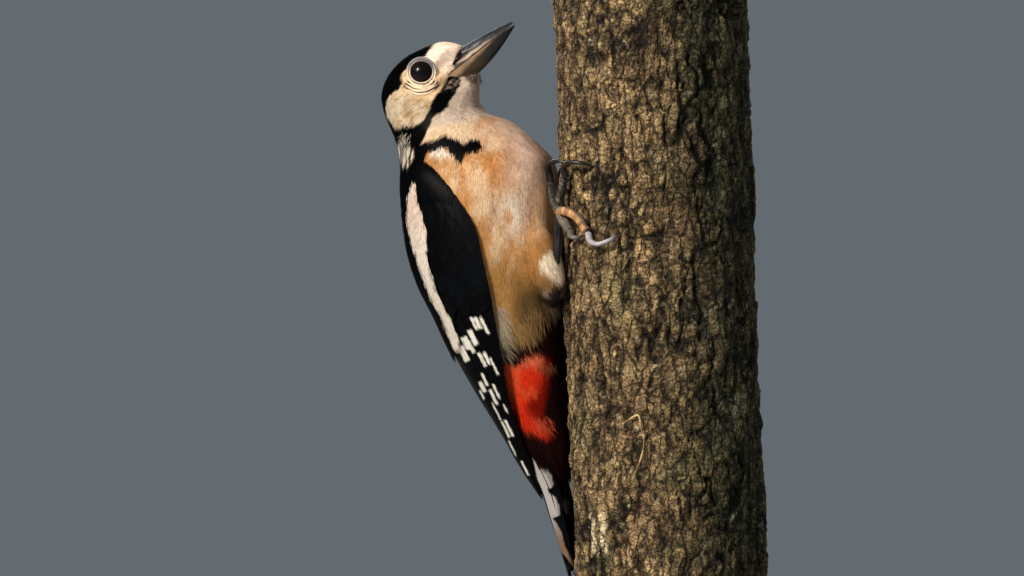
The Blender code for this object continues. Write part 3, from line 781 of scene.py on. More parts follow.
def body_surface():
    """Outer face of head, neck and body, narrowed to the bill at its foot."""
    rows = through([(*back, *front, width) for back, front, width in BODY], RINGS_PER_STATION)
    back, front, width = rows[:, None, 0:2], rows[:, None, 2:4], rows[:, None, 4]
    angle = around(BODY_SIDES)
    c, s = np.cos(angle), np.sin(angle)
    size = (np.abs(c) ** BODY_FULLNESS + np.abs(s) ** BODY_FULLNESS) ** (-1 / BODY_FULLNESS)
    at = (back + front) / 2 - (front - back) / 2 * (c * size)[None, :, None]
    grid = np.stack((at[..., 0], -width * (s * size)[None], at[..., 1]), -1)
    flat = grid.reshape(-1, 3)
    plain = Surface(grid, True, flat.mean(0))
    xz, z = side_view(flat), flat[:, 2]
    rise = sum(high * np.exp(-((xz - np.array(mid)) ** 2).sum(1) / reach**2) for mid, reach, high in LUMPS)
    rise = rise + 0.35 * fractal(folded(flat), 11.0, 2, 61) * smooth(-z, -225, -205)
    step = smooth(inside(xz, VENT), -1.5, 3.0) * smooth(z, 92, 112)
    fore = smooth(-np.tile(c, len(rows)), 0.3, 1.0) * smooth(z, 84, 96) * smooth(z, 160, 148)
    rise = rise - 2.0 * step * smooth(xz[:, 0], -36, -44) + 2.4 * fore
    grid = grid + plain.normal * rise.reshape(grid.shape[:2])[..., None]
    for _ in range(2):
        away = thigh_distance(grid.reshape(-1, 3)).reshape(grid.shape[:2])
        swell = THIGH_BLEND * np.log1p(np.exp(-np.maximum(away, -20) / THIGH_BLEND))
        grid = grid + plain.normal * (0.6 * swell * (away < 6) * smooth(grid[..., 2], 150, 160))[..., None]
    flat = grid.reshape(-1, 3)
    width, fill = bill_width(*bill_place(flat))
    away = np.maximum(-inside(side_view(flat), BARE_BILL), 0)
    limit = width * np.maximum(fill, 0.25 + 0.4 * smooth(away, 0, 1.5)) - 0.6 + 0.45 * away + 0.05 * away**2
    limit = np.where((flat[:, 2] > 230) & (flat[:, 0] > -92), limit, 99)
    over_limit = np.abs(flat[:, 1]) - limit
    pull = np.log1p(np.exp(np.clip(over_limit * 1.6, -20, 20))) / 1.6
    flat[:, 1] -= np.sign(flat[:, 1]) * pull * smooth(over_limit, -2.5, -1.5)
    return Surface(grid, True, flat.mean(0))


def thigh_surface(side):
    """Outer face of a thigh, from the body to the heel."""
    rows = through([(*way, radius) for way, radius in THIGH], 10)
    ahead = unit(np.gradient(rows[:, :3], axis=0))
    up = unit(np.cross(ahead, (0, 1, 0)))
    across = np.cross(ahead, up)
    angle = around(40)
    ring = up[:, None] * np.cos(angle)[None, :, None] + across[:, None] * np.sin(angle)[None, :, None]
    mirror = (1, -side, 1)
    grid = rows[:, None, :3] + ring * rows[:, None, 3:]
    return Surface(grid * mirror, True, rows[len(rows) // 2, :3] * mirror)


THIGH_BLEND = 1.6


def thigh_distance(points):
    """Distance of points from the thigh on their side, mm, negative inside it."""
    p = folded(points)
    nearest = np.full(len(p), 99.0)
    for *middle, radius in through([(*way, radius) for way, radius in THIGH], 5):
        nearest = np.minimum(nearest, np.linalg.norm(p - np.array(middle), axis=-1) - radius)
    return nearest


def buried(points, surface, margin):
    """Whether points lie deeper than a margin in mm under a closed surface."""
    flat, normals = surface.grid.reshape(-1, 3), surface.normal.reshape(-1, 3)
    tree = KDTree(len(flat))
    for number, place in enumerate(flat):
        tree.insert(place, number)
    tree.balance()
    found = np.array([tree.find(point)[1] for point in points])
    return ((points - flat[found]) * normals[found]).sum(1) < -margin


def wing_surface(side):
    """The folded wing's outer face: rows from the shoulder to the tip, columns from the back to the edge."""
    rows = through(WING, WING_STEPS)
    height, back, low, width, start = (rows[:, None, k] for k in range(5))
    share = np.linspace(0, 1, WING_SIDES)[None]
    angle = np.radians(start + (WING_LOWEST - start) * share)
    x = back + (low - back) * (1 - np.cos(angle))
    grid = np.stack((x, -side * width * np.sin(angle), height + 0 * x), -1)
    return Surface(grid, False, np.array((-70.0, 0.0, 160.0)))


def under_wing(points):
    """Roughly how far points are inside the wing's outline on the body, mm."""
    rows = through(WING, 6)[::-1]
    z, top, bottom = points[:, 2], WING[0][0], WING[-1][0]
    back, low, width, start = (np.interp(z, rows[:, 0], rows[:, k]) for k in range(1, 5))
    angle = np.degrees(np.arcsin(np.clip(np.abs(points[:, 1]) / np.maximum(width, 1), 0, 1)))
    angle = np.where(points[:, 0] > low, 180 - angle, angle)
    reach = np.minimum(angle - start, WING_LOWEST - angle) * np.radians(1) * (width + low - back) / 2
    reach = np.minimum(reach, low + 1.5 - points[:, 0])
    reach = np.where((z < top) & (z > bottom), reach, -9)
    return np.minimum(reach, top - z) - 1.5


# Directions in the side view in which the feathers lie: place (x, z) and way (x, z)
LIE = (
    ((-62.0, 250.0), (-0.85, 0.5)),
    ((-68.0, 252.0), (-0.95, 0.3)),
    ((-72.0, 247.0), (-0.95, 0.15)),
    ((-68.0, 241.0), (-0.9, -0.35)),
    ((-78.0, 251.0), (-0.9, -0.4)),
    ((-86.0, 244.0), (-0.7, -0.75)),
    ((-91.0, 234.0), (-0.25, -1.0)),
    ((-84.0, 237.0), (-0.6, -0.8)),
    ((-77.0, 234.0), (-0.95, -0.35)),
    ((-82.0, 228.0), (-0.8, -0.6)),
    ((-76.0, 228.0), (-0.65, -0.75)),
    ((-70.0, 233.0), (-0.6, -0.8)),
    ((-87.0, 222.0), (-0.1, -1.0)),
    ((-58.0, 240.0), (-0.25, -1.0)),
    ((-54.0, 232.0), (-0.05, -1.0)),
    ((-62.0, 232.0), (-0.3, -1.0)),
    ((-68.0, 222.0), (-0.25, -1.0)),
    ((-55.0, 222.0), (0.2, -1.0)),
    ((-82.0, 210.0), (0.05, -1.0)),
    ((-65.0, 210.0), (0.05, -1.0)),
    ((-45.0, 218.0), (0.7, -0.8)),
    ((-35.0, 205.0), (0.35, -1.0)),
    ((-62.0, 195.0), (0.15, -1.0)),
    ((-45.0, 185.0), (0.05, -1.0)),
    ((-90.0, 180.0), (0.1, -1.0)),
    ((-50.0, 165.0), (0.1, -1.0)),
    ((-35.0, 165.0), (0.1, -1.0)),
    ((-50.0, 148.0), (0.5, -1.0)),
    ((-38.0, 150.0), (0.15, -1.0)),
    ((-75.0, 150.0), (0.5, -1.0)),
    ((-44.0, 138.0), (0.6, -1.0)),
    ((-40.0, 115.0), (0.3, -1.0)),
    ((-33.0, 100.0), (0.15, -1.0)),
    ((-55.0, 110.0), (0.5, -1.0)),
)
LIE_REACH = 5.0


def lie(points):
    """The way that the feathers lie at points of the bird."""
    places, ways = np.array([a for a, b in LIE]), unit(np.array([b for a, b in LIE], float))
    away = ((side_view(points)[:, None] - places[None]) ** 2).sum(-1)
    weight = 1 / (away + LIE_REACH**2) ** 2
    x, z = unit((weight[..., None] * ways[None]).sum(1) / weight.sum(1)[:, None]).T
    turn = 0.15 * noise(folded(points), 5.0, 71)
    return np.stack((x * np.cos(turn) - z * np.sin(turn), 0 * x, x * np.sin(turn) + z * np.cos(turn)), -1)


# ---------------------------------------------------------------- shader nodes


def add(tree, kind, **inputs):
    """A node with its inputs set by name or, as i0, by number; a leading underscore marks its attributes."""
    made = tree.nodes.new(kind)
    for label in [label for label in inputs if label[0] == "_"]:
        setattr(made, label[1:], inputs.pop(label))
    for label, value in inputs.items():
        numbered = label[0] == "i" and label[1:].isdigit()
        socket = made.inputs[int(label[1:]) if numbered else label.replace("_", " ")]
        if isinstance(value, bpy.types.NodeSocket):
            tree.links.new(value, socket)
        else:
            socket.default_value = value
    return made


def group_tree(name, inputs, outputs):
    """A shader node group with float, colour or vector sockets, ready to be filled."""
    tree = bpy.data.node_groups.new(name, "ShaderNodeTree")
    kinds = {"float": "NodeSocketFloat", "colour": "NodeSocketColor", "vector": "NodeSocketVector"}
    for label, kind, value in inputs:
        socket = tree.interface.new_socket(label, in_out="INPUT", socket_type=kinds[kind])
        if value is not None:
            socket.default_value = value
    for label, kind in outputs:
        tree.interface.new_socket(label, in_out="OUTPUT", socket_type=kinds[kind])
    return tree, tree.nodes.new("NodeGroupInput").outputs, tree.nodes.new("NodeGroupOutput").inputs


def new_material(name, **settings):
    """A material with its Principled BSDF set, its tree and that node."""
    made = bpy.data.materials.new(name)
    made.use_nodes = True
    surface = made.node_tree.nodes["Principled BSDF"]
    for label, value in settings.items():
        surface.inputs[label.replace("_", " ")].default_value = value
    return made, made.node_tree, surface


def rgb(colour):
    """A colour as a socket takes it."""
    return (*[float(v) for v in colour], 1.0)


BACKDROP = linear(99, 106, 112)


def grain_group():
    """Uneven patches and streaks that several finishes share."""
    inputs = (
        ("Place", "vector", None),
        ("Scale", "float", 400.0),
        ("Stretch", "vector", (1, 1, 1)),
        ("Detail", "float", 4.0),
    )
    tree, source, sink = group_tree("Grain", inputs, (("Mask", "float"),))
    place = maths(tree, "VectorMath", "MULTIPLY", source["Place"], source["Stretch"])
    lumps = out(tree, "ShaderNodeTexNoise", Vector=place, Scale=source["Scale"], Detail=source["Detail"])
    tree.links.new(tone(tree, lumps, 0, 1, From_Min=0.3, From_Max=0.7), sink["Mask"])
    return tree


def use_grain(tree, scale, stretch=(1, 1, 1), detail=4.0):
    """The shared grain over a material's Object coordinates."""
    group = bpy.data.node_groups.get("Grain") or grain_group()
    return out(
        tree, "ShaderNodeGroup", _node_tree=group, Place=here(tree), Scale=scale, Stretch=stretch, Detail=detail
    )


def blend(tree, factor, a, b, how="MIX"):
    """A colour mix of two sockets or colours."""
    return add(tree, "ShaderNodeMix", _data_type="RGBA", _blend_type=how, i0=factor, i6=a, i7=b).outputs[2]


def bump(tree, height, strength, distance):
    return add(tree, "ShaderNodeBump", Height=height, Strength=strength, Distance=distance).outputs[0]


def out(tree, kind, **inputs):
    """The first output of a new node."""
    return add(tree, kind, **inputs).outputs[0]


def tone(tree, mask, low, high, **span):
    """A mask spread from low to high."""
    return out(tree, "ShaderNodeMapRange", Value=mask, To_Min=low, To_Max=high, **span)


def maths(tree, kind, operation, *values, **named):
    """The result of a Math or VectorMath node."""
    inputs = {f"i{number}": value for number, value in enumerate(values)}
    return out(tree, f"ShaderNode{kind}", _operation=operation, **inputs, **named)


def own(tree, field="plumage", output="Color"):
    """One of the piece's own attributes."""
    return add(tree, "ShaderNodeAttribute", _attribute_name=field).outputs[output]


def here(tree):
    """A place on the piece, in its Object coordinates."""
    return add(tree, "ShaderNodeTexCoord").outputs["Object"]


def cells(tree, place, scale, width):
    """From 0 on the lines between cells to 1 at a width inside them."""
    lines = add(tree, "ShaderNodeTexVoronoi", _feature="DISTANCE_TO_EDGE", Vector=place, Scale=scale)
    return tone(tree, lines.outputs["Distance"], 0, 1, From_Max=width)


def shaded(tree, colour, *masks):
    """A colour darkened and lit by (mask, low, high) in turn."""
    for mask, low, high in masks:
        colour = blend(tree, 1.0, colour, tone(tree, mask, low, high), "MULTIPLY")
    return colour


def join(tree, surface, **values):
    """Lead values into the surface's sockets."""
    for label, value in values.items():
        tree.links.new(value, surface.inputs[label.replace("_", " ")])


def plumage_material(name, dull=0.82, glossy=0.36):
    """Plumage whose colour and gloss come from the piece's own attributes."""
    made, tree, surface = new_material(name, Specular_IOR_Level=0.025)
    colour = shaded(tree, own(tree), (use_grain(tree, 900.0), 0.86, 1.08))
    join(tree, surface, Base_Color=colour, Roughness=tone(tree, own(tree, "gloss", "Fac"), dull, glossy))
    return made


BARB_FREQUENCY = 11000.0  # of the ridges along a vane's own map, in radians a metre


def vane_material(name):
    """Flight and tail feathers: colour from the piece, fine barbs slanting from the shaft along its map."""
    made, tree, surface = new_material(name, Specular_IOR_Level=0.03, Roughness=0.4)
    place = out(tree, "ShaderNodeUVMap", _uv_map="Vane")
    parts = add(tree, "ShaderNodeSeparateXYZ", Vector=place)
    from_shaft = maths(tree, "Math", "ABSOLUTE", parts.outputs[0])
    slant = maths(tree, "Math", "MULTIPLY_ADD", from_shaft, -1.6, parts.outputs[1])
    barbs = maths(tree, "Math", "SINE", maths(tree, "Math", "MULTIPLY", slant, BARB_FREQUENCY))
    lit = tone(tree, barbs, 0.9, 1.04, From_Min=-1.0)
    colour = blend(tree, 1.0, own(tree), lit, "MULTIPLY")
    join(tree, surface, Base_Color=colour, Normal=bump(tree, barbs, 0.12, 0.0001))
    return made


def horn_material(name, roughness, streak_scale, stretch):
    """Bill and claw horn: colour from the piece, with faint growth streaks."""
    made, tree, surface = new_material(name, Specular_IOR_Level=0.5, Coat_Weight=0.15, Coat_Roughness=0.2)
    streaks = use_grain(tree, streak_scale, stretch, 5.0)
    rough = tone(tree, streaks, roughness + 0.1, roughness - 0.06)
    colour = shaded(tree, own(tree), (streaks, 0.75, 1.15))
    join(tree, surface, Base_Color=colour, Roughness=rough, Normal=bump(tree, streaks, 0.25, 0.0001))
    return made


def scaled_material(name, fineness=1500.0, depth=0.5):
    """Skin of the toes and eyelids: colour from the piece, small cells and creases."""
    made, tree, surface = new_material(name, Specular_IOR_Level=0.4, Roughness=0.55)
    creases = cells(tree, here(tree), fineness, 0.12)
    colour = shaded(tree, own(tree), (creases, 1.02 - 0.8 * depth, 1.05), (use_grain(tree, 500.0), 0.8, 1.15))
    join(tree, surface, Base_Color=colour, Normal=bump(tree, creases, depth, 0.00015))
    return made


def eye_material(name):
    """Wet eyeball: iris and pupil come from the piece, under a clear coat."""
    made, tree, surface = new_material(
        name, Roughness=0.3, Specular_IOR_Level=0.1, Coat_Weight=0.5, Coat_Roughness=0.11, Coat_IOR=1.33
    )
    join(tree, surface, Base_Color=shaded(tree, own(tree), (use_grain(tree, 2500.0), 0.7, 1.25)))
    return made


def bark_material(name):
    """Cracked bark with pale flecks, and growth rings where the perch is cut."""
    made, tree, surface = new_material(name, Specular_IOR_Level=0.2)
    cut, place = own(tree, "cut", "Fac"), here(tree)
    swirl = add(tree, "ShaderNodeTexNoise", Vector=place, Scale=300.0, Detail=5.0).outputs["Color"]
    moved = maths(tree, "VectorMath", "ADD", place, maths(tree, "VectorMath", "SCALE", swirl, Scale=0.0036))
    upright = cells(tree, maths(tree, "VectorMath", "MULTIPLY", moved, (1, 1, 0.36)), 200.0, 0.1)
    level = cells(tree, maths(tree, "VectorMath", "MULTIPLY", moved, (0.55, 0.55, 1.6)), 330.0, 0.1)
    broad = use_grain(tree, 260.0, (1, 1, 0.5), 6.0)
    fine = use_grain(tree, 1300.0, (1, 1, 0.7), 4.0)
    # the crack lines are darkened as painted shade
    bark = shaded(tree, own(tree), (broad, 0.5, 1.5), (fine, 0.15, 2.1), (upright, 0.16, 1.1), (level, 0.66, 1.06))
    centred = out(tree, "ShaderNodeMapping", Vector=place, Location=(-LOG_AXIS_X * MM, 0, 0), Scale=(1, 1, 0.02))
    rings = add(
        tree, "ShaderNodeTexWave", _wave_type="RINGS", _rings_direction="Z", Vector=centred, Scale=112.0,
        Distortion=2.6, Detail=3.0, Detail_Scale=0.12,
    )
    wood = blend(tree, rings.outputs["Fac"], rgb(linear(164, 126, 84)), rgb(linear(192, 158, 113)))
    height = maths(tree, "Math", "MULTIPLY_ADD", fine, 0.6, upright)
    height = maths(tree, "Math", "MULTIPLY_ADD", level, 0.6, height)
    height = maths(tree, "Math", "MULTIPLY", height, tone(tree, cut, 1.0, 0.0))
    join(
        tree, surface, Base_Color=blend(tree, cut, bark, wood), Roughness=tone(tree, broad, 0.95, 0.75),
        Normal=bump(tree, height, 0.9, 0.0007),
    )
    return made


def wood_material(name):
    """Dark, oiled board for the base."""
    made, tree, surface = new_material(name, Specular_IOR_Level=0.2)
    grain = use_grain(tree, 90.0, (0.12, 1.6, 1.6), 6.0)
    pores = use_grain(tree, 900.0, (0.06, 1.5, 1.5), 3.0)
    wood = blend(tree, grain, rgb(linear(66, 44, 31)), rgb(linear(112, 78, 52)))
    join(
        tree, surface, Base_Color=shaded(tree, wood, (pores, 0.8, 1.1)), Roughness=tone(tree, grain, 0.72, 0.6),
        Normal=bump(tree, pores, 0.3, 0.0002),
    )
    return made


def steel_material(name):
    """Brushed rod, its marks running round it."""
    made, tree, surface = new_material(name, Metallic=1.0, Base_Color=rgb(linear(176, 178, 182)))
    marks = use_grain(tree, 500.0, (0.1, 0.1, 6.0), 2.0)
    join(tree, surface, Roughness=tone(tree, marks, 0.24, 0.4), Normal=bump(tree, marks, 0.15, 0.0001))
    return made


def floor_material(name):
    """Pale floor that fades into the backdrop's colour away from the model."""
    made, tree, surface = new_material(
        name, Base_Color=rgb(linear(164, 164, 162)), Roughness=0.8, Specular_IOR_Level=0.1
    )
    reach = add(tree, "ShaderNodeVectorMath", _operation="LENGTH", i0=here(tree)).outputs["Value"]
    fade = tone(tree, reach, 0, 1, From_Min=0.35, From_Max=1.15)
    glow = out(tree, "ShaderNodeEmission", Color=rgb(BACKDROP), Strength=1.0)
    both = out(tree, "ShaderNodeMixShader", Fac=fade, i1=surface.outputs[0], i2=glow)
    tree.links.new(both, tree.nodes["Material Output"].inputs["Surface"])
    return made


FINISHES = {
    "small feathers": (plumage_material,),
    "feathered skin": (plumage_material, 0.95, 0.7),
    "wing vanes": (vane_material,),
    "bill horn": (horn_material, 0.36, 420.0, (0.25, 1.0, 0.25)),
    "claw horn": (horn_material, 0.42, 500.0, (1.0, 1.0, 1.0)),
    "dry stalk": (horn_material, 0.7, 300.0, (1, 1, 1)),
    "toe skin": (scaled_material,),
    "lid skin": (scaled_material, 2600.0, 0.15),
    "wet eye": (eye_material,),
    "cracked bark": (bark_material,),
    "oiled base": (wood_material,),
    "brushed rod": (steel_material,),
    "pale floor": (floor_material,),
}


def material(name):
    """A finish of the list, made once and then shared."""
    maker, *values = FINISHES[name]
    return bpy.data.materials.get(name) or maker(name, *values)


# ---------------------------------------------------------------- perch


def log_centre(height):
    """The perch's axis in X at a height, mm."""
    return LOG_AXIS_X + LOG_LEAN * (height - LOG_AXIS_Z)


BARK_COLUMNS, BARK_ROWS, CUT_RINGS = 330, 280, 8


CUT_EDGE = 0.955  # share of the radius inside which a cut face shows wood and not bark


def ridges(points, scale, seed):
    """From 0 to 1, with sharp creases of 0 along winding lines."""
    return np.minimum(np.abs(noise(points, scale, seed)) * 2.2, 1)


def bark_fields(turn, z):
    """Height of the bark over its mean and its colour, at angles and heights of the perch."""
    p = np.stack((LOG_RADIUS * np.cos(turn), LOG_RADIUS * np.sin(turn), z), -1)
    p = p + 1.6 * np.stack([noise(p, 5.0, 81 + k) for k in range(3)], -1)
    p = p + 0.5 * np.stack([noise(p, 1.7, 84 + k) for k in range(3)], -1)
    layers = 4.2 * fractal(p * (1, 1, 0.6), 10.0, 3, 87)
    step = layers - np.floor(layers)
    flakes = np.floor(layers) + smooth(step, 0.0, 0.22)
    rough = fractal(p * (1, 1, 0.75), 3.0, 3, 91)
    creases = ridges(p * (1, 1, 0.5), 3.6, 95)
    cracks = smooth(ridges(p * (1, 1, 0.16), 5.2, 97), 0.3, 0.05) * patches(p, 11.0, 98, -0.4, 0.15)
    wrinkles = smooth(ridges(p * (0.35, 0.35, 1.3), 4.2, 99), 0.3, 0.05)
    wrinkles = wrinkles * patches(p, 10.0, 100, -0.05, 0.3) * 0.8
    height = 0.5 * flakes + 0.75 * rough + 0.5 * creases - 1.8 * cracks - 0.9 * wrinkles - 0.5

    # the side in front and to the bird's right is bare low down; the far side is painted darker and greener as
    # shade, with lichen on it
    x, front = LOG_AXIS_X + LOG_RADIUS * np.cos(turn), np.sin(turn) < 0
    strips = np.abs(np.abs(x + 14.8) - 2.1) + 0.8 * noise(p, 2.0, 106)
    bare = np.exp(-(((z - 66.5) / 7.5) ** 4)) * smooth(strips, 1.5, 0.6) * front
    shaded_side = smooth(x + 3.5 * noise(p, 5.0, 107), 6, 36) * smooth(-np.sin(turn), -0.3, 0.1)
    lichen = patches(p, 2.2, 108, 0.25, 0.6) * patches(p, 9.0, 109, -0.3, 0.3)
    # painted light of the relief: the flakes' lips are painted pale as highlights, and the foot of each flake's
    # edge and the cracks, wrinkles and creases are painted dark as their shade
    lip = smooth(step, 0.1, 0.2) * smooth(step, 0.42, 0.24)
    edges = 0.6 * smooth(step, 0.1, 0.0) * patches(p, 5.0, 105, -0.4, 0.2)
    dark = np.maximum(np.maximum(cracks, 0.8 * wrinkles), 0.65 * smooth(creases, 0.28, 0.05))
    shade = smooth(0.6 * rough + 0.5 * creases + 0.16 * flakes, -0.25, 0.75)
    colour = over(
        linear(18, 14, 9),
        (linear(128, 106, 73), shade),
        (linear(74, 76, 48), 0.45 * patches(p, 15.0, 101, 0.0, 0.55)),
        (linear(100, 78, 56), 0.5 * patches(p, 12.0, 102, 0.1, 0.6)),
        (linear(164, 136, 94), 0.5 * lip * patches(p, 4.0, 103, -0.2, 0.4)),
        (linear(150, 136, 106), 0.5 * patches(p, 1.5, 104, 0.45, 0.7)),
        (linear(18, 14, 10), 0.9 * np.maximum(dark, edges)),
        (linear(206, 188, 150), 0.9 * bare),
    )
    # painted shade of the far side: darker, a little green
    wet = colour * (0.2, 0.25, 0.22) + linear(4, 9, 5)
    colour = over(colour, (wet, 0.92 * shaded_side), (linear(84, 88, 70), 0.7 * lichen * shaded_side))
    return height * (1 - 0.5 * bare), colour


def broad_radius(turn, z):
    """Radius of the perch without its bark's relief."""
    plates = 0.45 * np.sin(5 * turn + 0.035 * z) + 0.3 * np.sin(9 * turn - 0.06 * z + 1.0)
    return LOG_RADIUS - 0.7 + plates + 0.25 * np.sin(0.11 * z + 3 * turn)


STALK = ((-1.3, 108.3), (0.6, 109.7), (4.4, 111.6), (5.6, 107.0), (6.6, 101.7), (5.6, 96.0), (2.9, 88.8))


def make_stalk():
    """A dry stalk caught on the bark, its line given as (x, z) over the perch."""
    x, z = np.array(STALK).T
    off = x - log_centre(z)
    path = np.stack((x, -np.sqrt((LOG_RADIUS + 0.9) ** 2 - off**2), z), -1)
    rings = tube_rings(path, (0.5, 0.42, 0.4, 0.36, 0.34, 0.3, 0.2), 8, 10, (0, -1, 0))[0]
    points, triangles = closed_tube(rings)
    colour = mix(linear(118, 92, 56), linear(196, 168, 116), patches(points, 2.0, 111, -0.3, 0.4))
    settle(mesh_from("dry_stalk", points * MM, triangles, "dry stalk", colour), "bark")


def make_perch():
    """The trunk's bark and its cut faces, and the stalk on it."""
    heights = np.linspace(LOG_BOTTOM, LOG_TOP, BARK_ROWS)
    turn, z = np.meshgrid(around(BARK_COLUMNS), heights)
    relief, colour = bark_fields(turn.ravel(), z.ravel())
    fade = smooth(np.minimum(z.ravel() - LOG_BOTTOM, LOG_TOP - z.ravel()), 0, 0.8)
    reach = (broad_radius(turn.ravel(), z.ravel()) + relief * (0.6 + 0.4 * fade)).reshape(turn.shape)
    shares = 1 - (np.arange(1, CUT_RINGS + 1) / (CUT_RINGS + 1)) ** 1.3
    rows = [(reach[0] * share, LOG_BOTTOM + 0.1, share < CUT_EDGE) for share in shares[::-1]]
    rows += [(reach[row], height, False) for row, height in enumerate(heights)]
    rows += [(reach[-1] * share, LOG_TOP - 0.1, share < CUT_EDGE) for share in shares]
    turn = turn[0]
    rings = [
        np.stack((log_centre(at) + radius * np.cos(turn), radius * np.sin(turn), 0 * turn + at), -1)
        for radius, at, _ in rows
    ]
    dark = np.broadcast_to(linear(62, 46, 30), (CUT_RINGS * BARK_COLUMNS, 3))
    colours = np.concatenate((dark, colour, dark, dark[:2]))
    cut = np.concatenate((np.repeat([float(sawn) for _, _, sawn in rows], BARK_COLUMNS), (1.0, 1.0)))
    points, triangles = closed_tube(rings)
    piece = mesh_from("perch_bark", points * MM, triangles, "cracked bark", colours, extra={"cut": cut})
    settle(piece, "bark", "perch_log")
    make_stalk()


def settle(piece, slot, *nodes):
    """Ride on the one body, take a finish and stand for CAD nodes."""
    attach(piece, "root")
    if nodes:
        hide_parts(*nodes)
    return piece


def lay(name, slot, body, finish, colour, *nodes, **how):
    """A settled piece from a body's points in the bird's frame and its triangles."""
    points, triangles = body
    return settle(mesh_from(name, to_world(points), triangles, finish, colour, **how), slot, *nodes)


# ---------------------------------------------------------------- skin and coat

SIDES = ((1, "right"), (-1, "left"))


def eye_gap(points):
    """Distance of points from the axis of the eye on their side, mm."""
    mirrored = np.stack((points[..., 0], -np.abs(points[..., 1]), points[..., 2]), -1)
    off = mirrored - EYE_CENTRE * (1, -1, 1)
    return np.linalg.norm(off - EYE_AXIS * (off @ EYE_AXIS)[..., None], axis=-1)


def bill_place(points):
    """How far along the bill points lie, 0 at its root to 1 at its tip, and how high over the cutting edge."""
    root, tip = (np.array(v) for v in CUTTING_EDGE)
    way = tip - root
    xz = points[..., (0, 2)]
    along = ((xz - root) @ way) / (way @ way)
    return along, (xz - root) @ np.array((-way[1], way[0])) / sqrt(way @ way)


def bill_width(along, high, grow=0.0):
    """Half width of the bill at its cutting edge, and the share of it left at a height over or under that."""
    share = np.clip(along, 0, 1)
    tall = np.where(high > 0, 7.6 * (1 - share), 6.0 * (1 - share)) + grow
    width = BILL_TIP_WIDTH + (BILL_ROOT_WIDTH - BILL_TIP_WIDTH) * (1 - share) ** 0.9 + grow
    return width, np.clip(1 - np.abs(high) / np.maximum(tall, 0.1), 0, 1) ** 0.667


def in_bill(points, grow=0.0):
    along, high = bill_place(points)
    width, fill = bill_width(along, high, grow)
    return (along > -0.02) & (along < 1.05) & (np.abs(points[..., 1]) < width * fill)


def coat_depth(points):
    """How far the skin lies under the coat's outer face, mm."""
    return 1.0 - 0.45 * smooth(points[..., 2], 214, 228)


def raised(surface, height):
    """A surface lifted by a height in mm."""
    made = Surface(surface.grid + surface.normal * height, surface.closed)
    if (made.normal * surface.normal).sum() < 0:
        made.normal = -made.normal
    return made


def undertail_surface(rows=40, columns=64):
    """Outer face of the red coverts that fill the roof of the tail."""
    top = 3.7
    share = np.linspace(0, 1, rows)[:, None]
    turn = around(columns)[None]
    half = 10.2 * np.sqrt(1 - (0.93 * share) ** 3)
    lowest = 18.8 - 12.0 * share**1.6
    edge = np.minimum(top + roof(half), lowest - 0.6)
    across, up = half * np.sin(turn), np.cos(turn)
    belly = edge + (lowest - edge) * np.sqrt(np.maximum(1 - (across / half) ** 2, 0))
    crown = np.minimum(top + roof(across), belly)
    middle = (crown + belly) / 2
    depth = np.where(up > 0, middle - (middle - crown) * up, middle - (belly - middle) * up)
    grid = tail_points(0.36 * share + 0 * across, across, depth - roof(across))
    return Surface(grid, True, grid.mean((0, 1)))


def make_skin(settings):
    """One closed skin under the coat of head, neck, body, thighs and undertail."""
    body = body_surface()
    off_middle = np.abs(body.grid[..., 1])
    hidden = under_wing(body.grid.reshape(-1, 3)).reshape(off_middle.shape)
    inset = coat_depth(body.grid) + settings.skin_drop / MM + 1.6 * smooth(hidden, 0, 4)
    inset = inset + 0.8 * smooth(eye_gap(body.grid), 6.4, 5.4) * (body.grid[..., 2] > 230) * (off_middle > 5)
    parts = [closed_tube(body.grid - body.normal * inset[..., None])]
    for part in (*(thigh_surface(side) for side, _ in SIDES), undertail_surface()):
        parts.append(closed_tube(part.grid - part.normal * 0.9))
    points, triangles = joined(parts)
    rough = mesh_from("skin_parts", to_world(points), triangles)
    remesh = rough.modifiers.new("One skin", "REMESH")
    remesh.mode = "VOXEL"
    remesh.voxel_size = settings.skin_grain
    rough.modifiers.new("Even out", "SMOOTH").iterations = 6
    whole = evaluated(rough)
    flat = bmesh.new()
    flat.from_mesh(whole)
    bmesh.ops.triangulate(flat, faces=flat.faces)
    flat.to_mesh(whole)
    flat.free()
    points = np.empty(len(whole.vertices) * 3, np.float32)
    whole.vertices.foreach_get("co", points)
    corners = np.empty(len(whole.polygons) * 3, np.int32)
    whole.loops.foreach_get("vertex_index", corners)
    bpy.data.meshes.remove(whole)
    points = points.reshape(-1, 3).astype(float)
    places = to_bird(points)
    colour, gloss = plumage(places)
    wet = smooth(eye_gap(places), 6.2, 5.6) * smooth(places[:, 2], 230, 232) * (np.abs(places[:, 1]) > 6)
    # the skin, seen between the barbs, is painted a little darker than the coat as their shade; by the eye it
    # takes the lids' colour
    colour = mix(colour * 0.92, LID, wet)
    piece = mesh_from("skin", points, corners.reshape(-1, 3), "feathered skin", colour, gloss * 0.5)
    settle(piece, "buff_plumage", "head", "neck", "trunk", "thigh_right", "thigh_left", "undertail_coverts")


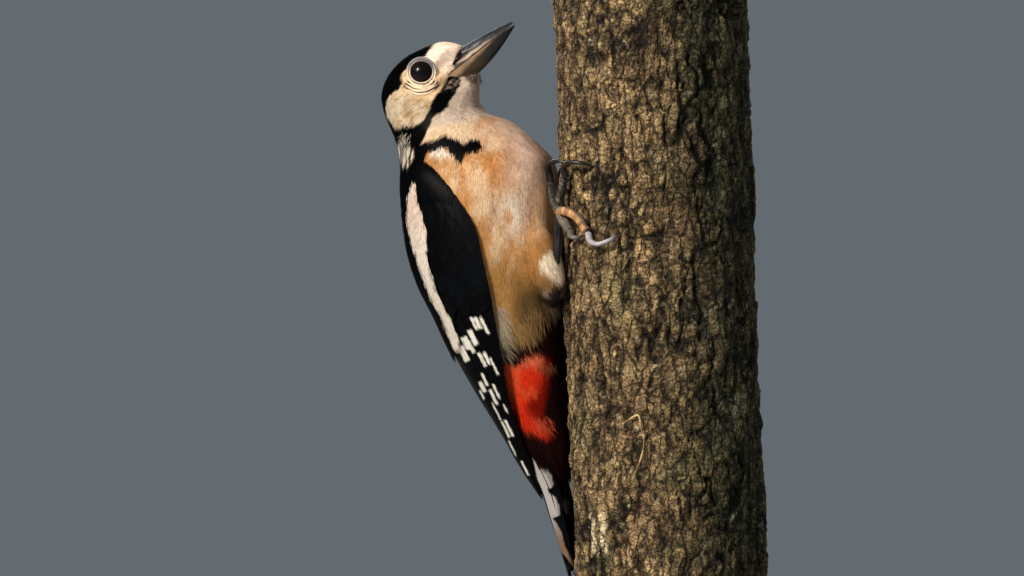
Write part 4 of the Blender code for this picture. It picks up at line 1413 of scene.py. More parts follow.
def coat_look(points):
    """Length and width of the small feathers' barbs, and the depth of their roots, all in mm."""
    xz = side_view(points)
    z = xz[:, 1]
    length = 7.8 - 2.4 * smooth(z, 204, 216) - 1.8 * smooth(z, 220, 234) + 1.8 * smooth(z, 165, 140)
    to_eye = side_view(EYE_CENTRE * (1, -1, 1))[None] - xz
    facing = (unit(to_eye) * lie(points)[:, (0, 2)]).sum(1)
    gap = np.where(z > 226, eye_gap(points), 99.0)
    length = np.minimum(length, 0.5 + 1.1 * np.maximum(gap - 5.0, 0) + 4.0 * smooth(-facing, -0.3, 0.3))
    before_bill = np.maximum(-bill_place(points)[0], 0.0)
    length = np.where(z > 230, np.minimum(length, 2.6 + 14 * before_bill), length)
    return length, 0.19 + 0.1 * smooth(z, 236, 205), coat_depth(points) + 0.15


def coat_spacing(settings, points):
    """Distance between the small feathers, mm."""
    barb = settings.barb_spacing / MM * (1 - 0.27 * smooth(points[..., 2], 212, 230))
    return barb * sqrt(settings.barbs)


REGIONS = (("head", 226, 300), ("neck", 210, 226), ("breast", 180, 210), ("belly", 150, 180), ("vent", 0, 150))


def make_coat(settings):
    """The small feathers of head, neck and body, in pieces for each part and side."""
    rng = np.random.default_rng(settings.seed)
    surface = body_surface()
    t, p, roots = surface.scatter(lambda points: coat_spacing(settings, points), rng)
    keep = (under_wing(roots) < 0) & ~in_bill(roots, 0.1)
    keep &= ((eye_gap(roots) > 5.3) | (roots[:, 2] < 228)) & (fold_zone(roots) < 0.5)
    keep &= (roots[:, 2] > 92) & (t > 2)
    for side, label in SIDES:
        for name, low, high in REGIONS:
            mine = keep & (roots[:, 2] >= low) & (roots[:, 2] < high) & (roots[:, 1] * side <= 0)
            coat_piece(
                f"coat_{name}_{label}", "buff_plumage", surface, t[mine], p[mine], lie, coat_look, rng,
                settings.barbs, spread=0.85, curl=0.25, lift=0.04,
            )


def thigh_lie(points):
    """Over the thigh the feathers sweep down and forwards to the perch."""
    return np.array((0.62, 0.0, -1.0)) + 0.3 * noise(points, 3.0, 73)[:, None] * np.array((1, 0, 0.4))


def thigh_paint(points):
    """Like the belly above, then a white tuft that turns grey towards the heel."""
    above, _ = plumage(points)
    x, z = side_view(points).T
    tuft = inside(side_view(points), THIGH_WHITE) + 0.8 * noise(points, 2.5, 74)
    tuft = smooth(tuft + 0.9 * noise(points * (1, 1, 0.4), 1.3, 76), -1.4, 1.6)
    dark = np.maximum(patches(points * (1, 1, 0.4), 1.6, 75, -0.5, 0.3), smooth(z, 158, 155))
    lower = mix(linear(150, 136, 116), linear(40, 34, 30), dark)
    return over(above, (linear(228, 210, 182), tuft), (lower, smooth(z - 0.4 * (x + 28), 160.5, 157.5))), 0


def make_thighs(settings):
    """White tufts that hide the legs down to the heel."""
    rng = np.random.default_rng(settings.seed + 1)
    body = body_surface()
    for side, label in SIDES:
        surface = thigh_surface(side)
        t, p, roots = surface.scatter(0.85, rng)
        keep = ~buried(roots, body, 0.6)
        coat_piece(
            f"coat_thigh_{label}", "white_plumage", surface, t[keep], p[keep], thigh_lie, (6.2, 0.28, 0.9), rng,
            paint=thigh_paint, curl=0.5, lift=0.3,
        )


def undertail_lie(points):
    return np.array((0.3, 0.0, -1.0)) + 0.2 * noise(points, 4.0, 77)[:, None]


def make_undertail(settings):
    """Red coverts that run out under the tail."""
    rng = np.random.default_rng(settings.seed + 2)
    surface = undertail_surface()
    t, p, _ = surface.scatter(0.85, rng)
    coat_piece(
        "coat_undertail", "red_plumage", surface, t, p, undertail_lie, (7.5, 0.3, 0.9), rng, curl=0.3, lift=0.1
    )


WISPS = (
    # middle (x, z) of the roots in the side view, spread, way, length, how many, colour
    ((-49.0, 145.0), (2.0, 11.0), (0.5, -1.0), 13.0, 64, linear(152, 140, 118)),
    ((-40.5, 146.0), (4.0, 4.0), (0.35, -1.0), 11.0, 60, linear(150, 118, 74)),
    ((-34.5, 150.0), (4.0, 5.0), (0.1, -1.0), 10.0, 90, linear(128, 98, 62)),
    ((-28.0, 155.0), (4.0, 4.0), (0.75, -1.0), 9.0, 70, linear(140, 122, 98)),
    ((-33.5, 110.0), (4.0, 2.5), (0.7, -1.0), 9.0, 30, linear(186, 74, 48)),
    ((-30.0, 132.0), (4.0, 2.0), (0.25, -1.0), 7.0, 26, linear(150, 84, 56)),
    ((-57.5, 241.0), (2.2, 2.6), (0.5, 0.85), 3.6, 34, linear(84, 72, 64)),
    ((-83.5, 216.0), (2.5, 6.0), (-0.3, -1.0), 5.0, 34, linear(186, 176, 160)),
)


def make_wisps(settings):
    """Long loose barbs at the end of the belly, over the vent, on the chin and the nape."""
    rng = np.random.default_rng(settings.seed + 3)
    surface = body_surface()
    t, p, roots = surface.scatter(0.7, rng)
    xz = side_view(roots)
    for number, (middle, reach, way, length, count, colour) in enumerate(WISPS):
        away = (((xz - np.array(middle)) / np.array(reach)) ** 2).sum(1) + 4.0 * (np.abs(roots[:, 1]) < 4)
        away = np.where(under_wing(roots) > 0, 99, away)
        picks = np.argsort(away + rng.random(len(away)) * 1.6)[: count * 2]

        def look(points):
            return length * rng.uniform(0.6, 1.1, len(points)), 0.18, 0.6

        def paint(points):
            return np.clip(colour * rng.uniform(0.75, 1.1, (len(points), 1)), 0, 1), 0

        def flow(points):
            turn = 0.35 * noise(points, 3.0, 79 + number)[:, None]
            return np.array((way[0], 0.0, way[1])) + turn * np.array((1.0, 0.0, 0.3))

        coat_piece(
            f"coat_wisps_{number + 1}", "buff_plumage", surface, t[picks], p[picks], flow, look, rng, 3,
            spread=0.7, paint=paint, marks=5, curl=0.8, lift=0.8,
        )


# ---------------------------------------------------------------- vanes of wings and tail


def vane_mesh(name, slot, vanes, *nodes, thickness=0.16):
    """A piece of closed thin vanes from (grid, normals, colours, map) of equal size each."""
    grid, normal, colour, place = (np.stack(v) for v in zip(*vanes))
    count, columns = len(grid), grid.shape[2]
    rim = np.sin(np.linspace(0, pi, columns)) ** 0.5 * 0.8 + 0.2
    low = grid - normal * (thickness * rim)[None, None, :, None]
    body = closed_tubes(np.concatenate((grid, low[:, :, ::-1]), 2))

    def both(field):
        field = np.concatenate((field, field[:, :, ::-1]), 2)
        ends = np.stack((field[:, 0].mean(1), field[:, -1].mean(1)), 1)
        return np.concatenate((field.reshape(count, -1, field.shape[-1]), ends), 1).reshape(-1, field.shape[-1])

    lay(name, slot, body, "wing vanes", both(colour), *nodes, uv=both(place), uv_name="Vane", sharp=60)


def vane(surface, t, p, half, height, paint, shaft=0.0, shaft_high=0.16, columns=9):
    """One feather over a surface. t and p give its shaft's way, half its half width in mm at each row.

    height(along, across) is its lift over the surface in mm, for along from 0 to 1 and across from -1 to 1.
    """
    rows = len(t)
    across = np.linspace(-1, 1, columns)[None]
    gauge = np.linalg.norm(surface.read(surface.across, t, p), axis=-1)
    flat_t = np.repeat(t[:, None], columns, 1).ravel()
    flat_p = (p[:, None] + across * (half / gauge)[:, None]).ravel()
    along = np.linspace(0, 1, rows)[:, None]
    at = surface.read(surface.grid, flat_t, flat_p).reshape(rows, columns, 3)
    normal = unit(surface.read(surface.normal, flat_t, flat_p)).reshape(rows, columns, 3)
    ridge = shaft_high * np.exp(-(((across - shaft) * half[:, None] / 0.35) ** 2)) * (1 - 0.6 * along)
    at = at + normal * (height(along, across) + ridge)[..., None]
    run = np.concatenate(([0], np.cumsum(np.linalg.norm(np.diff(at[:, columns // 2], axis=0), axis=1))))
    place = np.stack(((across - shaft) * half[:, None], run[:, None] + 0 * across), -1) * MM + 0.01
    colour = paint(at.reshape(-1, 3), (along + 0 * across).ravel(), (across + 0 * along).ravel())
    return at, normal, colour.reshape(rows, columns, 3), place


# White bars of the folded wing in the side view: middle (x, z), half length and half width
WING_BARS = (
    ((-57.4, 146.0), 2.6, 0.45), ((-55.8, 146.1), 2.4, 0.75), ((-53.5, 145.5), 3.8, 0.5),
    ((-57.7, 140.6), 3.1, 0.9),
    ((-60.2, 138.5), 2.6, 1.2), ((-58.5, 137.2), 2.6, 0.6), ((-61.2, 134.4), 3.2, 1.1),
    ((-54.2, 132.3), 2.9, 0.6),
    ((-52.4, 132.7), 2.6, 0.55), ((-49.7, 129.8), 3.4, 0.32), ((-53.3, 124.7), 2.6, 0.45),
    ((-54.1, 121.8), 2.2, 0.7),
    ((-54.3, 118.8), 1.8, 0.35), ((-48.8, 120.1), 3.0, 0.4), ((-49.9, 118.0), 3.1, 0.5),
    ((-48.8, 112.5), 3.6, 0.28),
    ((-45.4, 113.7), 1.8, 0.22), ((-45.4, 105.7), 3.3, 0.38), ((-44.0, 106.2), 3.5, 0.45),
    ((-42.8, 98.5), 3.3, 0.28),
    ((-38.0, 90.9), 3.0, 0.36),
)
BAR_WAY = np.array((0.44, -0.9))


def wing_paint(points, _, across):
    """Black with the white bars."""
    xz = side_view(points)
    side = np.array((BAR_WAY[1], -BAR_WAY[0]))
    white = np.zeros(len(points))
    for middle, long, wide in WING_BARS:
        off = xz - np.array(middle)
        reach = np.maximum(np.abs(off @ BAR_WAY) - long, (np.abs(off @ side) - wide))
        white = np.maximum(white, smooth(reach + 0.15 * noise(points, 0.8, 113), 0.2, -0.2))
    # the vanes' edges are painted lighter, as highlights
    rim = smooth(np.abs(across), 0.86, 0.98)[:, None]
    return mix(feather_black(points, 5.0, 111, -0.2, 0.7) * (1 + 0.7 * rim), linear(208, 204, 192), white)


def wing_bed(side, label):
    """The black bed under the wing's feathers."""
    rings = []
    for height, back, low, width, start, thickness in through(WING, 3):
        share = np.linspace(0, 1, 24)
        angle = np.radians(start + 1 + (WING_LOWEST - 3 - start) * share)
        edge = 0.45 + 0.55 * np.sin(pi * np.clip(share, 0.06, 0.94)) ** 0.5
        outer, inner = (
            np.stack(
                (
                    back + (low - back) - (low - back - inset * 0.9) * np.cos(angle),
                    -side * (width - inset) * np.sin(angle),
                    height + 0 * angle,
                ),
                -1,
            )
            for inset in (0.5, np.maximum(thickness * edge, 0.7))
        )
        rings.append(np.concatenate((outer, inner[::-1])))
    points, triangles = closed_tube(rings)
    lay(
        f"wing_bed_{label}", "black_plumage", (points, triangles), "feathered skin", BLACK, f"wing_{label}",
        f"flight_feathers_{label}", gloss=np.zeros(len(points)), sharp=50,
    )


def flight_feathers(surface, at_height, label):
    """The long flight feathers, each over the next one out."""
    vanes = []
    for j in range(FLIGHT_FEATHERS):
        share = j / (FLIGHT_FEATHERS - 1)
        t = np.linspace(at_height(176 - 8 * share), at_height(117 - 37.5 * share**0.9), 150)
        run = np.linspace(0, 1, 150)
        begin, end = 0.15 + 0.76 * share, 0.3 + 0.3 * share
        q = begin + (end - begin) * smooth(run, 0.35, 1.05)
        narrowed = ((run - 0.86) / 0.14).clip(0, 1) ** (2.4 - share)
        half = (4.1 - 0.5 * share) * np.sqrt(np.clip(1 - narrowed, 0.004, 1))
        half = np.minimum(half, 0.62 * surface_width(surface, t))

        def height(along, across, j=j):
            return (1.05 - 0.1 * j + 0.28 * across + 0.06 * np.sin(40 * along + 9 * j)) * (1 - 0.45 * along)

        vanes.append(vane(surface, t, q * (WING_SIDES - 1), half, height, wing_paint, shaft=0.35, columns=15))
    vane_mesh(f"wing_flight_{label}", "black_plumage", vanes)


def covert_rows(surface, at_height, label, rng):
    """Rows of coverts from the flight feathers up to the shoulder."""
    vanes = []
    for row in range(COVERT_ROWS)[::-1]:
        z = 205 - 37 * (row / (COVERT_ROWS - 1)) ** 1.05
        size = 0.62 + 0.38 * smooth(row, 0, 8)
        t0 = at_height(z)
        wide = float(surface_width(surface, np.array([t0]))[0]) * 2
        number = max(int(wide / (4.2 * size)), 2)
        for k in range(number):
            q = (k + 0.5 + 0.5 * (row % 2) + rng.uniform(-0.12, 0.12)) / number
            q = min(q, 0.99 - 3.3 * size / wide)
            reach = 19.0 * size * (1 + rng.uniform(-0.14, 0.14))
            t = np.linspace(t0, at_height(z - reach), 16)
            narrowed = ((np.linspace(0, 1, 16) - 0.5) / 0.5).clip(0, 1) ** 2.0
            half = 3.7 * size * np.sqrt(np.clip(1 - narrowed, 0.01, 1))

            def height(along, across, lift=rng.uniform(-0.05, 0.05)):
                return 0.8 + lift + 0.6 * along + 0.1 * across - 0.12 * across**2

            # each covert is painted a little lighter or darker as lit, and lighter at its edges and tip as a
            # painted highlight
            def paint(points, along, across, lit=rng.uniform(0.8, 1.25)):
                rim = smooth(np.maximum(np.abs(across), along), 0.86, 1.0)[:, None]
                return feather_black(points, 6.0, 115, -0.3, 0.6) * lit * (1 + 0.7 * rim)

            vanes.append(vane(surface, t, q * (WING_SIDES - 1) + 0 * t, half, height, paint, 0.1, 0.08))
    vane_mesh(f"wing_coverts_{label}", "black_plumage", vanes)


FLIGHT_FEATHERS = 9
COVERT_ROWS = 11


def make_wings(settings):
    """Flight feathers, rows of coverts and the black bed under them, for both wings."""
    rng = np.random.default_rng(settings.seed)
    stations = through(WING, WING_STEPS)[:, 0]

    def at_height(z):
        return np.interp(-np.asarray(z, float), -stations, np.arange(len(stations)))

    for side, label in SIDES:
        surface = wing_surface(side)
        wing_bed(side, label)
        flight_feathers(surface, at_height, label)
        covert_rows(surface, at_height, label, rng)


def surface_width(surface, t):
    """Half the distance across a surface at rows t, mm."""
    gauge = np.linalg.norm(surface.across, axis=-1).sum(1)
    return np.interp(t, np.arange(len(gauge)), gauge) / 2


def scapular_paint(points):
    """White, a little pink towards the top."""
    share = smooth(points[:, 2], 168, 190) * 0.85
    return mix(linear(214, 204, 190), linear(206, 182, 166), share), 0


def mantle_paint(points):
    """The glossy black of the mantle."""
    return feather_black(points, 4.0, 117, -0.3, 0.6), 1


def shoulder_lie(points):
    way = np.stack((0.12 + 0.33 * smooth(points[:, 2], 180, 150), 0 * points[:, 0], -1 + 0 * points[:, 0]), -1)
    return way + 0.1 * noise(points, 4.0, 119)[:, None] * np.array((1.0, 0, 0))


def shoulder_look(points):
    share = smooth(points[:, 2], 165, 190)
    return 6.8 - 1.2 * share, 0.28, 0.35


def make_shoulders(settings):
    """The white shoulder feathers over the folded wing and the black mantle beside them."""
    rng = np.random.default_rng(settings.seed + 4)
    for side, label in SIDES:
        surface = raised(wing_surface(side), 1.6)
        t, p, roots = surface.scatter(0.72, rng)
        drift = np.stack((1.0 + 1.2 * smooth(roots[:, 2], 178, 160), -2.8 + 0 * roots[:, 2]), -1)
        x, z = side_view(roots).T
        white = inside(side_view(roots) + drift, SCAPULAR) + 0.5 * noise(roots, 1.5, 121) - 0.35 > 0.1
        edge = np.interp(z, (130, 150, 178, 200, 208), (-66, -70.5, -78.5, -82.5, -82.5))
        black = ~white & (((x < edge + 0.8) & (z > 136)) | (z > 196))
        for name, slot, mine, paint, how in (
            ("shoulder", "white_plumage", white, scapular_paint, {"spread": 0.55, "curl": 0.2, "lift": 0.1}),
            ("mantle", "black_plumage", black, mantle_paint, {"spread": 0.6, "curl": 0.15, "lift": 0.05}),
        ):
            coat_piece(
                f"coat_{name}_{label}", slot, surface, t[mine], p[mine], shoulder_lie, shoulder_look, rng,
                paint=paint, **how,
            )


# ---------------------------------------------------------------- tail


def roof(across):
    """How far the roofed tail drops from its ridge, mm."""
    return ROOF_SLOPE * (np.sqrt(across**2 + ROOF_RIDGE**2) - ROOF_RIDGE)


def tail_points(along, across, depth):
    """Points of the roofed tail: share of its length, mm across, mm under its upper surface."""
    rows = through(TAIL_TOP, 12)
    place = np.clip(along, 0, 1.0) * (len(rows) - 1)
    x, z = (np.interp(place, np.arange(len(rows)), rows[:, k]) for k in range(2))
    face = unit(mix(np.array(TAIL_ROOT_FACE), np.array(TAIL_FACE), smooth(along, 0, TAIL_FACE_TURNED)))
    off = depth + roof(across)
    return np.stack((x + face[..., 0] * off, across + 0 * x, z + face[..., 1] * off), -1)


TAIL_REACH = 13.5


def tail_surface(rows=150, columns=61):
    along, across = np.meshgrid(
        np.linspace(0, 1, rows), np.linspace(-TAIL_REACH, TAIL_REACH, columns), indexing="ij"
    )
    return Surface(tail_points(along, across, 0.0), False, (1000.0, 0.0, 0.0))


# Feathers of half the tail from the middle one out: middle across at the root and the tip, half width,
# length as a share of the tail's, and how much white they have
RECTRICES = (
    (1.9, 1.7, 3.3, 1.0, 0.0),
    (3.6, 3.2, 3.1, 0.965, 0.0),
    (5.3, 4.6, 2.9, 0.91, 0.0),
    (5.4, 4.6, 2.0, 0.87, 0.0),
    (8.0, 6.6, 3.6, 0.95, 1.0),
)


def make_tail():
    """Stiff, pointed tail feathers, black in the middle and barred white outside."""
    surface = tail_surface()
    rows, columns = surface.grid.shape[:2]
    gauge = 2 * TAIL_REACH / (columns - 1)
    run = np.linspace(0, 1, 120)
    for side, label in ((0, "middle"), (1, "side_right"), (-1, "side_left")):
        vanes = []
        for number, (root, tip, wide, length, white) in enumerate(RECTRICES):
            if (side == 0) != (number == 0):
                continue
            for way in (1, -1) if side == 0 else (-side,):
                across = way * (root + (tip - root) * run + 1.6 * np.sin(pi * run**0.8) * (number > 1))
                p = (columns - 1) / 2 + across / gauge
                half = wide * (1 - 0.1 * run) * np.clip(1 - ((run - 0.78) / 0.22).clip(0, 1) ** 1.8, 0.03, 1)

                def height(along, across_vane):
                    from_shaft = across_vane * way * (number > 0)
                    if number == len(RECTRICES) - 1:
                        droop = 2.1 - 0.95 * smooth(along, 0.5, 0.72)
                        return 0.9 - droop * (1 + from_shaft)
                    return -0.42 * number - 0.15 + 0.3 * from_shaft

                def paint(points, _, across_vane):
                    pale = inside(side_view(points), TAIL_PALE) + 0.2 * noise(points, 1.2, 133)
                    ashy = mix(linear(158, 154, 150), linear(112, 91, 74), smooth(-points[:, 2], -76, -62))
                    ashy = mix(ashy * 0.52, ashy, smooth(-across_vane * way, -0.3, -0.1))
                    return mix(feather_black(points, 5.0, 131, -0.3, 0.6), ashy, smooth(pale, -0.2, 0.2) * white)

                t = run * length * (rows - 1.001)
                vanes.append(vane(surface, t, p, half, height, paint, 0.25 * way if number else 0.0, 0.22, 15))
        vane_mesh(f"tail_vanes_{label}", "black_plumage", vanes, f"tail_{label}", thickness=0.22)


# ---------------------------------------------------------------- bill, eyes, feet


def bill_rings(upper, steps=60, sides=36):
    """Sections of one half of the bill, from its root to its tip."""
    outer_line = CULMEN if upper else GONYS
    away = np.array((-0.62, 0.78)) * (1 if upper else -1)
    side = -np.cos(pi * np.arange(sides + 1) / sides)
    rise = 1 - np.abs(side) ** 1.5
    rings = []
    for i in range(steps + 1):
        along = i / steps
        cut = np.array(CUTTING_EDGE[0].lerp(CUTTING_EDGE[1], along))
        outer = np.array(outer_line[0].lerp(outer_line[1], along))
        outer = outer + away * (0.55 if upper else 1.2) * sin(pi * along)
        cut = cut + away * (0.12 + 0.45 * along**6)
        width = BILL_TIP_WIDTH + (BILL_ROOT_WIDTH - BILL_TIP_WIDTH) * (1 - along) ** 0.9
        hollow = 1 - 0.06 * np.exp(-(((rise - 0.55) / 0.16) ** 2)) * (1 - along) * (1.6 if upper else 0.6)
        at = cut + (outer - cut) * rise[:, None]
        rings.append(np.stack((at[:, 0], width * side * hollow, at[:, 1]), -1))
    return np.array(rings)


def bill_paint(points, upper):
    along, high = bill_place(points)
    tall = np.maximum((8.0 if upper else 5.6) * (1 - along), 0.8)
    rise = np.clip(np.abs(high) / tall, 0, 1)
    streak = 0.16 * noise(points * (0.2, 1, 0.2), 0.9, 141) + 0.08 * noise(points, 0.8, 142)
    level = rise + streak
    if not upper:
        return over(
            linear(162, 134, 102),
            (linear(60, 49, 32), smooth(level + 0.6 * along, 0.36, 0.86)),
            (linear(66, 48, 34), smooth(rise, 0.12, 0.02)),
            (linear(26, 24, 24), smooth(along + 0.6 * streak + 0.3 * rise, 0.62, 0.95)),
        )
    lip = smooth(high + 4 * streak, 2.0, 1.4) * smooth(level, 0.46, 0.38)
    return over(
        linear(84, 74, 66),
        (linear(30, 28, 28), smooth(level, 0.4, 0.5)),
        # a pale grey band along the side is a painted highlight
        (linear(132, 126, 128), 0.8 * smooth(np.abs(level - 0.68), 0.09, 0.02)),
        (linear(52, 56, 64), smooth(level, 0.74, 0.84)),
        (linear(172, 152, 130), lip * smooth(along, 0.9, 0.3)),
        (linear(60, 44, 32), smooth(level, 0.12, 0.02)),
        (linear(24, 24, 26), smooth(along + streak, 0.5, 0.85)),
    )


def make_bill(settings):
    """Both halves of the bill, and the bristles over the nostrils."""
    for upper, name in ((True, "bill_upper"), (False, "bill_lower")):
        body = closed_tube(bill_rings(upper))
        lay(f"{name}_horn", "bill_horn", body, "bill horn", bill_paint(body[0], upper), name, sharp=45)
    rng = np.random.default_rng(settings.seed)
    surface = Surface(bill_rings(True, 60, 48), False, (-72.0, 0.0, 246.0))
    count = settings.bristles
    t, p = rng.uniform(0.5, 17.0, count * 6), rng.uniform(1, 47, count * 6)
    along, high = bill_place(surface.read(surface.grid, t, p))
    keep = (along > 0.05) & (along < 0.24) & (high > 1.8 + 8.0 * np.maximum(along - 0.12, 0))
    keep &= np.abs(p - 24) > 1
    t, p = t[keep][:count], p[keep][:count]

    def look(points):
        share = smooth(bill_place(points)[1], 0.5, 3.0)
        return 1.8 + 0.9 * share * rng.uniform(0.5, 1.1, len(points)), 0.15, 0.3

    def flow(points):
        turn = 0.25 * noise(points, 2.0, 143)[:, None]
        return np.array((0.76, 0.0, 0.62)) + turn * np.array((0.6, 0.0, -0.8))

    def paint(points):
        return mix(linear(172, 150, 144), linear(30, 23, 24), patches(points, 1.6, 145, -0.5, -0.1)), 0

    coat_piece(
        "nostril_bristles", "black_plumage", surface, t, p, flow, look, rng, 3,
        spread=0.8, paint=paint, curl=0.2, lift=0.35,
    )


LID = linear(140, 116, 94)
LID_PROFILE = (
    (4.1, 4.36), (4.2, 4.6), (4.42, 4.74), (4.66, 4.56), (4.88, 4.22), (5.1, 4.34), (5.35, 4.46),
    (5.6, 4.3), (5.85, 3.6),
    (5.5, 2.9), (4.9, 3.1), (4.15, 3.9),
)
# Ridges of skin under the eye: distance from its axis, degrees they reach round from below, half thickness
EYE_FOLDS = ((5.7, 78, 0.4), (6.6, 66, 0.42), (7.55, 54, 0.5), (8.6, 38, 0.46))


def eye_frame(side):
    """Middle of an eye, its axis and two directions across it: up and forwards."""
    axis = EYE_AXIS * (1, side, 1)
    up = unit(np.array((0, 0, 1.0)) - axis * axis[2])
    return EYE_CENTRE * (1, -side, 1), axis, up, np.cross(up, axis) * side


def face_height(face, centre, axis, places):
    """How high the face lies over the eye's middle along its axis, at places across that axis."""
    off = face - centre
    high = off @ axis
    near = (high > 0) & (np.linalg.norm(off, axis=-1) < 14)
    off, high = off[near], high[near]
    flat = off - high[:, None] * axis
    gap = np.linalg.norm((places - centre)[:, None] - flat[None], axis=-1)
    weight = 1 / (gap + 0.05) ** 4
    return (weight * high).sum(1) / weight.sum(1)


def eyeball(settings, side, label):
    """A wet eyeball with its pupil and iris."""
    centre, axis, up, ahead = eye_frame(side)
    polar, turn = np.linspace(0.02, pi - 0.02, 72), around(72)
    across = up[None, None] * np.cos(turn)[None, :, None] + ahead[None, None] * np.sin(turn)[None, :, None]
    bulge = 1 + 0.05 * np.exp(-((polar / radians(26)) ** 4))
    body = closed_tube(
        centre
        + EYE_RADIUS
        * bulge[:, None, None]
        * (axis * np.cos(polar)[:, None, None] + across * np.sin(polar)[:, None, None])
    )
    degrees_out = np.degrees(np.concatenate((np.repeat(polar, 72), (0.0, pi))))
    spokes = 0.25 * noise(body[0], 0.7, 151)
    iris = mix(linear(20, 11, 10), linear(14, 9, 9), smooth(degrees_out, 30, 40))
    colour = over(
        linear(8, 7, 8),
        (iris * (1 + spokes)[:, None], smooth(degrees_out, settings.pupil - 1, settings.pupil + 1)),
        (linear(30, 24, 24), smooth(degrees_out, settings.iris, settings.iris + 3)),
    )
    lay(f"eyeball_{label}", "eye", body, "wet eye", colour, f"eye_{label}")


def lid_ring(side):
    """Points, triangles and colours of the creased ring of lids round an eye."""
    centre, axis, up, ahead = eye_frame(side)
    turn = around(140)
    out = up[None] * np.cos(turn)[:, None] + ahead[None] * np.sin(turn)[:, None]
    sections = []
    for k, a in enumerate(turn):
        section = []
        for reach, high in LID_PROFILE:
            wave = 0.05 * np.sin(9 * a + 3 * reach) + 0.04 * np.sin(17 * a + reach)
            wide = reach * (1 - 0.05 * abs(cos(a)) ** 3 * (reach < 5)) * (1 + 0.01 * wave)
            section.append(centre + out[k] * wide + axis * (high + wave * (reach > 5)))
        sections.append(section)
    reach = np.tile([r for r, _ in LID_PROFILE], len(turn))
    colour = over(
        linear(222, 200, 174),
        (linear(128, 119, 116), smooth(np.repeat(np.cos(turn), len(LID_PROFILE)), -0.3, 0.6)),
        # the crease in the lid is painted near black as its shade
        (linear(36, 32, 34), smooth(np.abs(reach - 4.88), 0.24, 0.05)),
        (linear(40, 32, 34), smooth(reach, 4.34, 4.12)),
    )
    return *closed_hoop(np.array(sections)), colour


def eye_fold(side, face, far, half, thick):
    """Points, triangles and colours of one ridge of skin under an eye."""
    centre, axis, up, ahead = eye_frame(side)
    bend = np.radians(np.linspace(180 - half, 180 + half, 17))
    way = up * np.cos(bend)[:, None] + ahead * np.sin(bend)[:, None]
    wavy = far + 0.16 * np.sin(3 * bend + 2 * far) + 0.07 * np.sin(11 * bend + far)
    path = centre + way * (wavy + 0.25 * smooth(np.abs(bend - pi), 0.6, 1.2))[:, None]
    path = path + axis * (face_height(face, centre, axis, path) - 0.1)[:, None]
    radii = thick * np.sqrt(np.sin(np.linspace(0.02, pi - 0.02, 17))) + 0.03
    rings = tube_rings(path, radii, 4, 12, axis, 0.95)[0]
    lit = np.concatenate((np.tile(np.cos(around(12)), len(rings)), (0, 0)))
    return *closed_tube(rings), mix(linear(104, 80, 62), linear(218, 194, 162), smooth(lit, -0.35, 0.5))


def joined(parts):
    """One set of points, triangles and any further fields from several."""
    points, triangles, *fields = zip(*parts)
    starts = np.cumsum([0] + [len(some) for some in points])
    triangles = [faces + start for faces, start in zip(triangles, starts)]
    return [np.concatenate(some) for some in (points, triangles, *fields)]


def make_eyes(settings):
    """Wet eyeballs and the creased lids round them."""
    face = body_surface().grid.reshape(-1, 3)
    for side, label in SIDES:
        eyeball(settings, side, label)
        parts = [lid_ring(side), *(eye_fold(side, face, *fold) for fold in EYE_FOLDS)]
        points, triangles, colour = joined(parts)
        lay(f"eyelid_{label}", "eye", (points, triangles), "lid skin", colour)


def on_bark(place, side):
    """A point over the bark in the bird's frame."""
    turn, height, clearance = place
    off = log_centre(height) - LOG_AXIS_X
    reach = LOG_RADIUS + clearance
    return np.array(
        (
            off * cos(BIRD_TURN) - reach * cos(radians(turn)),
            off * sin(BIRD_TURN) - side * reach * sin(radians(turn)),
            height,
        )
    )


def tube_rings(path, radii, steps=8, sides=20, up=(0, 0, 1), tall=1.0):
    """Rings round a smooth curve, tall times higher than wide; their first point lies towards up."""
    rows = through([(*point, radius) for point, radius in zip(path, radii)], steps)
    ahead = unit(np.gradient(rows[:, :3], axis=0))
    up = np.broadcast_to(np.asarray(up, float), ahead.shape)
    up = unit(up - ahead * (up * ahead).sum(1, keepdims=True))
    across = np.cross(ahead, up)
    turn = around(sides)
    ring = up[:, None] * (np.cos(turn) * tall)[None, :, None] + across[:, None] * np.sin(turn)[None, :, None]
    return rows[:, None, :3] + ring * rows[:, None, 3:], rows, up


# Toe and claw colours hold painted light: toes and claws 2 and 3 lie in shade and are painted near black, toe 4
# and its claw catch the light and are painted lighter
SHADED_SCALE, LIT_SCALE = linear(26, 23, 21), linear(96, 76, 60)
TOE_COLOURS = {"1": linear(104, 94, 80), "2": SHADED_SCALE, "3": SHADED_SCALE, "4": LIT_SCALE}
SHADED_CLAW = linear(20, 16, 15)
CLAW_COLOURS = {"1": linear(96, 90, 84), "2": SHADED_CLAW, "3": SHADED_CLAW, "4": linear(158, 152, 158)}


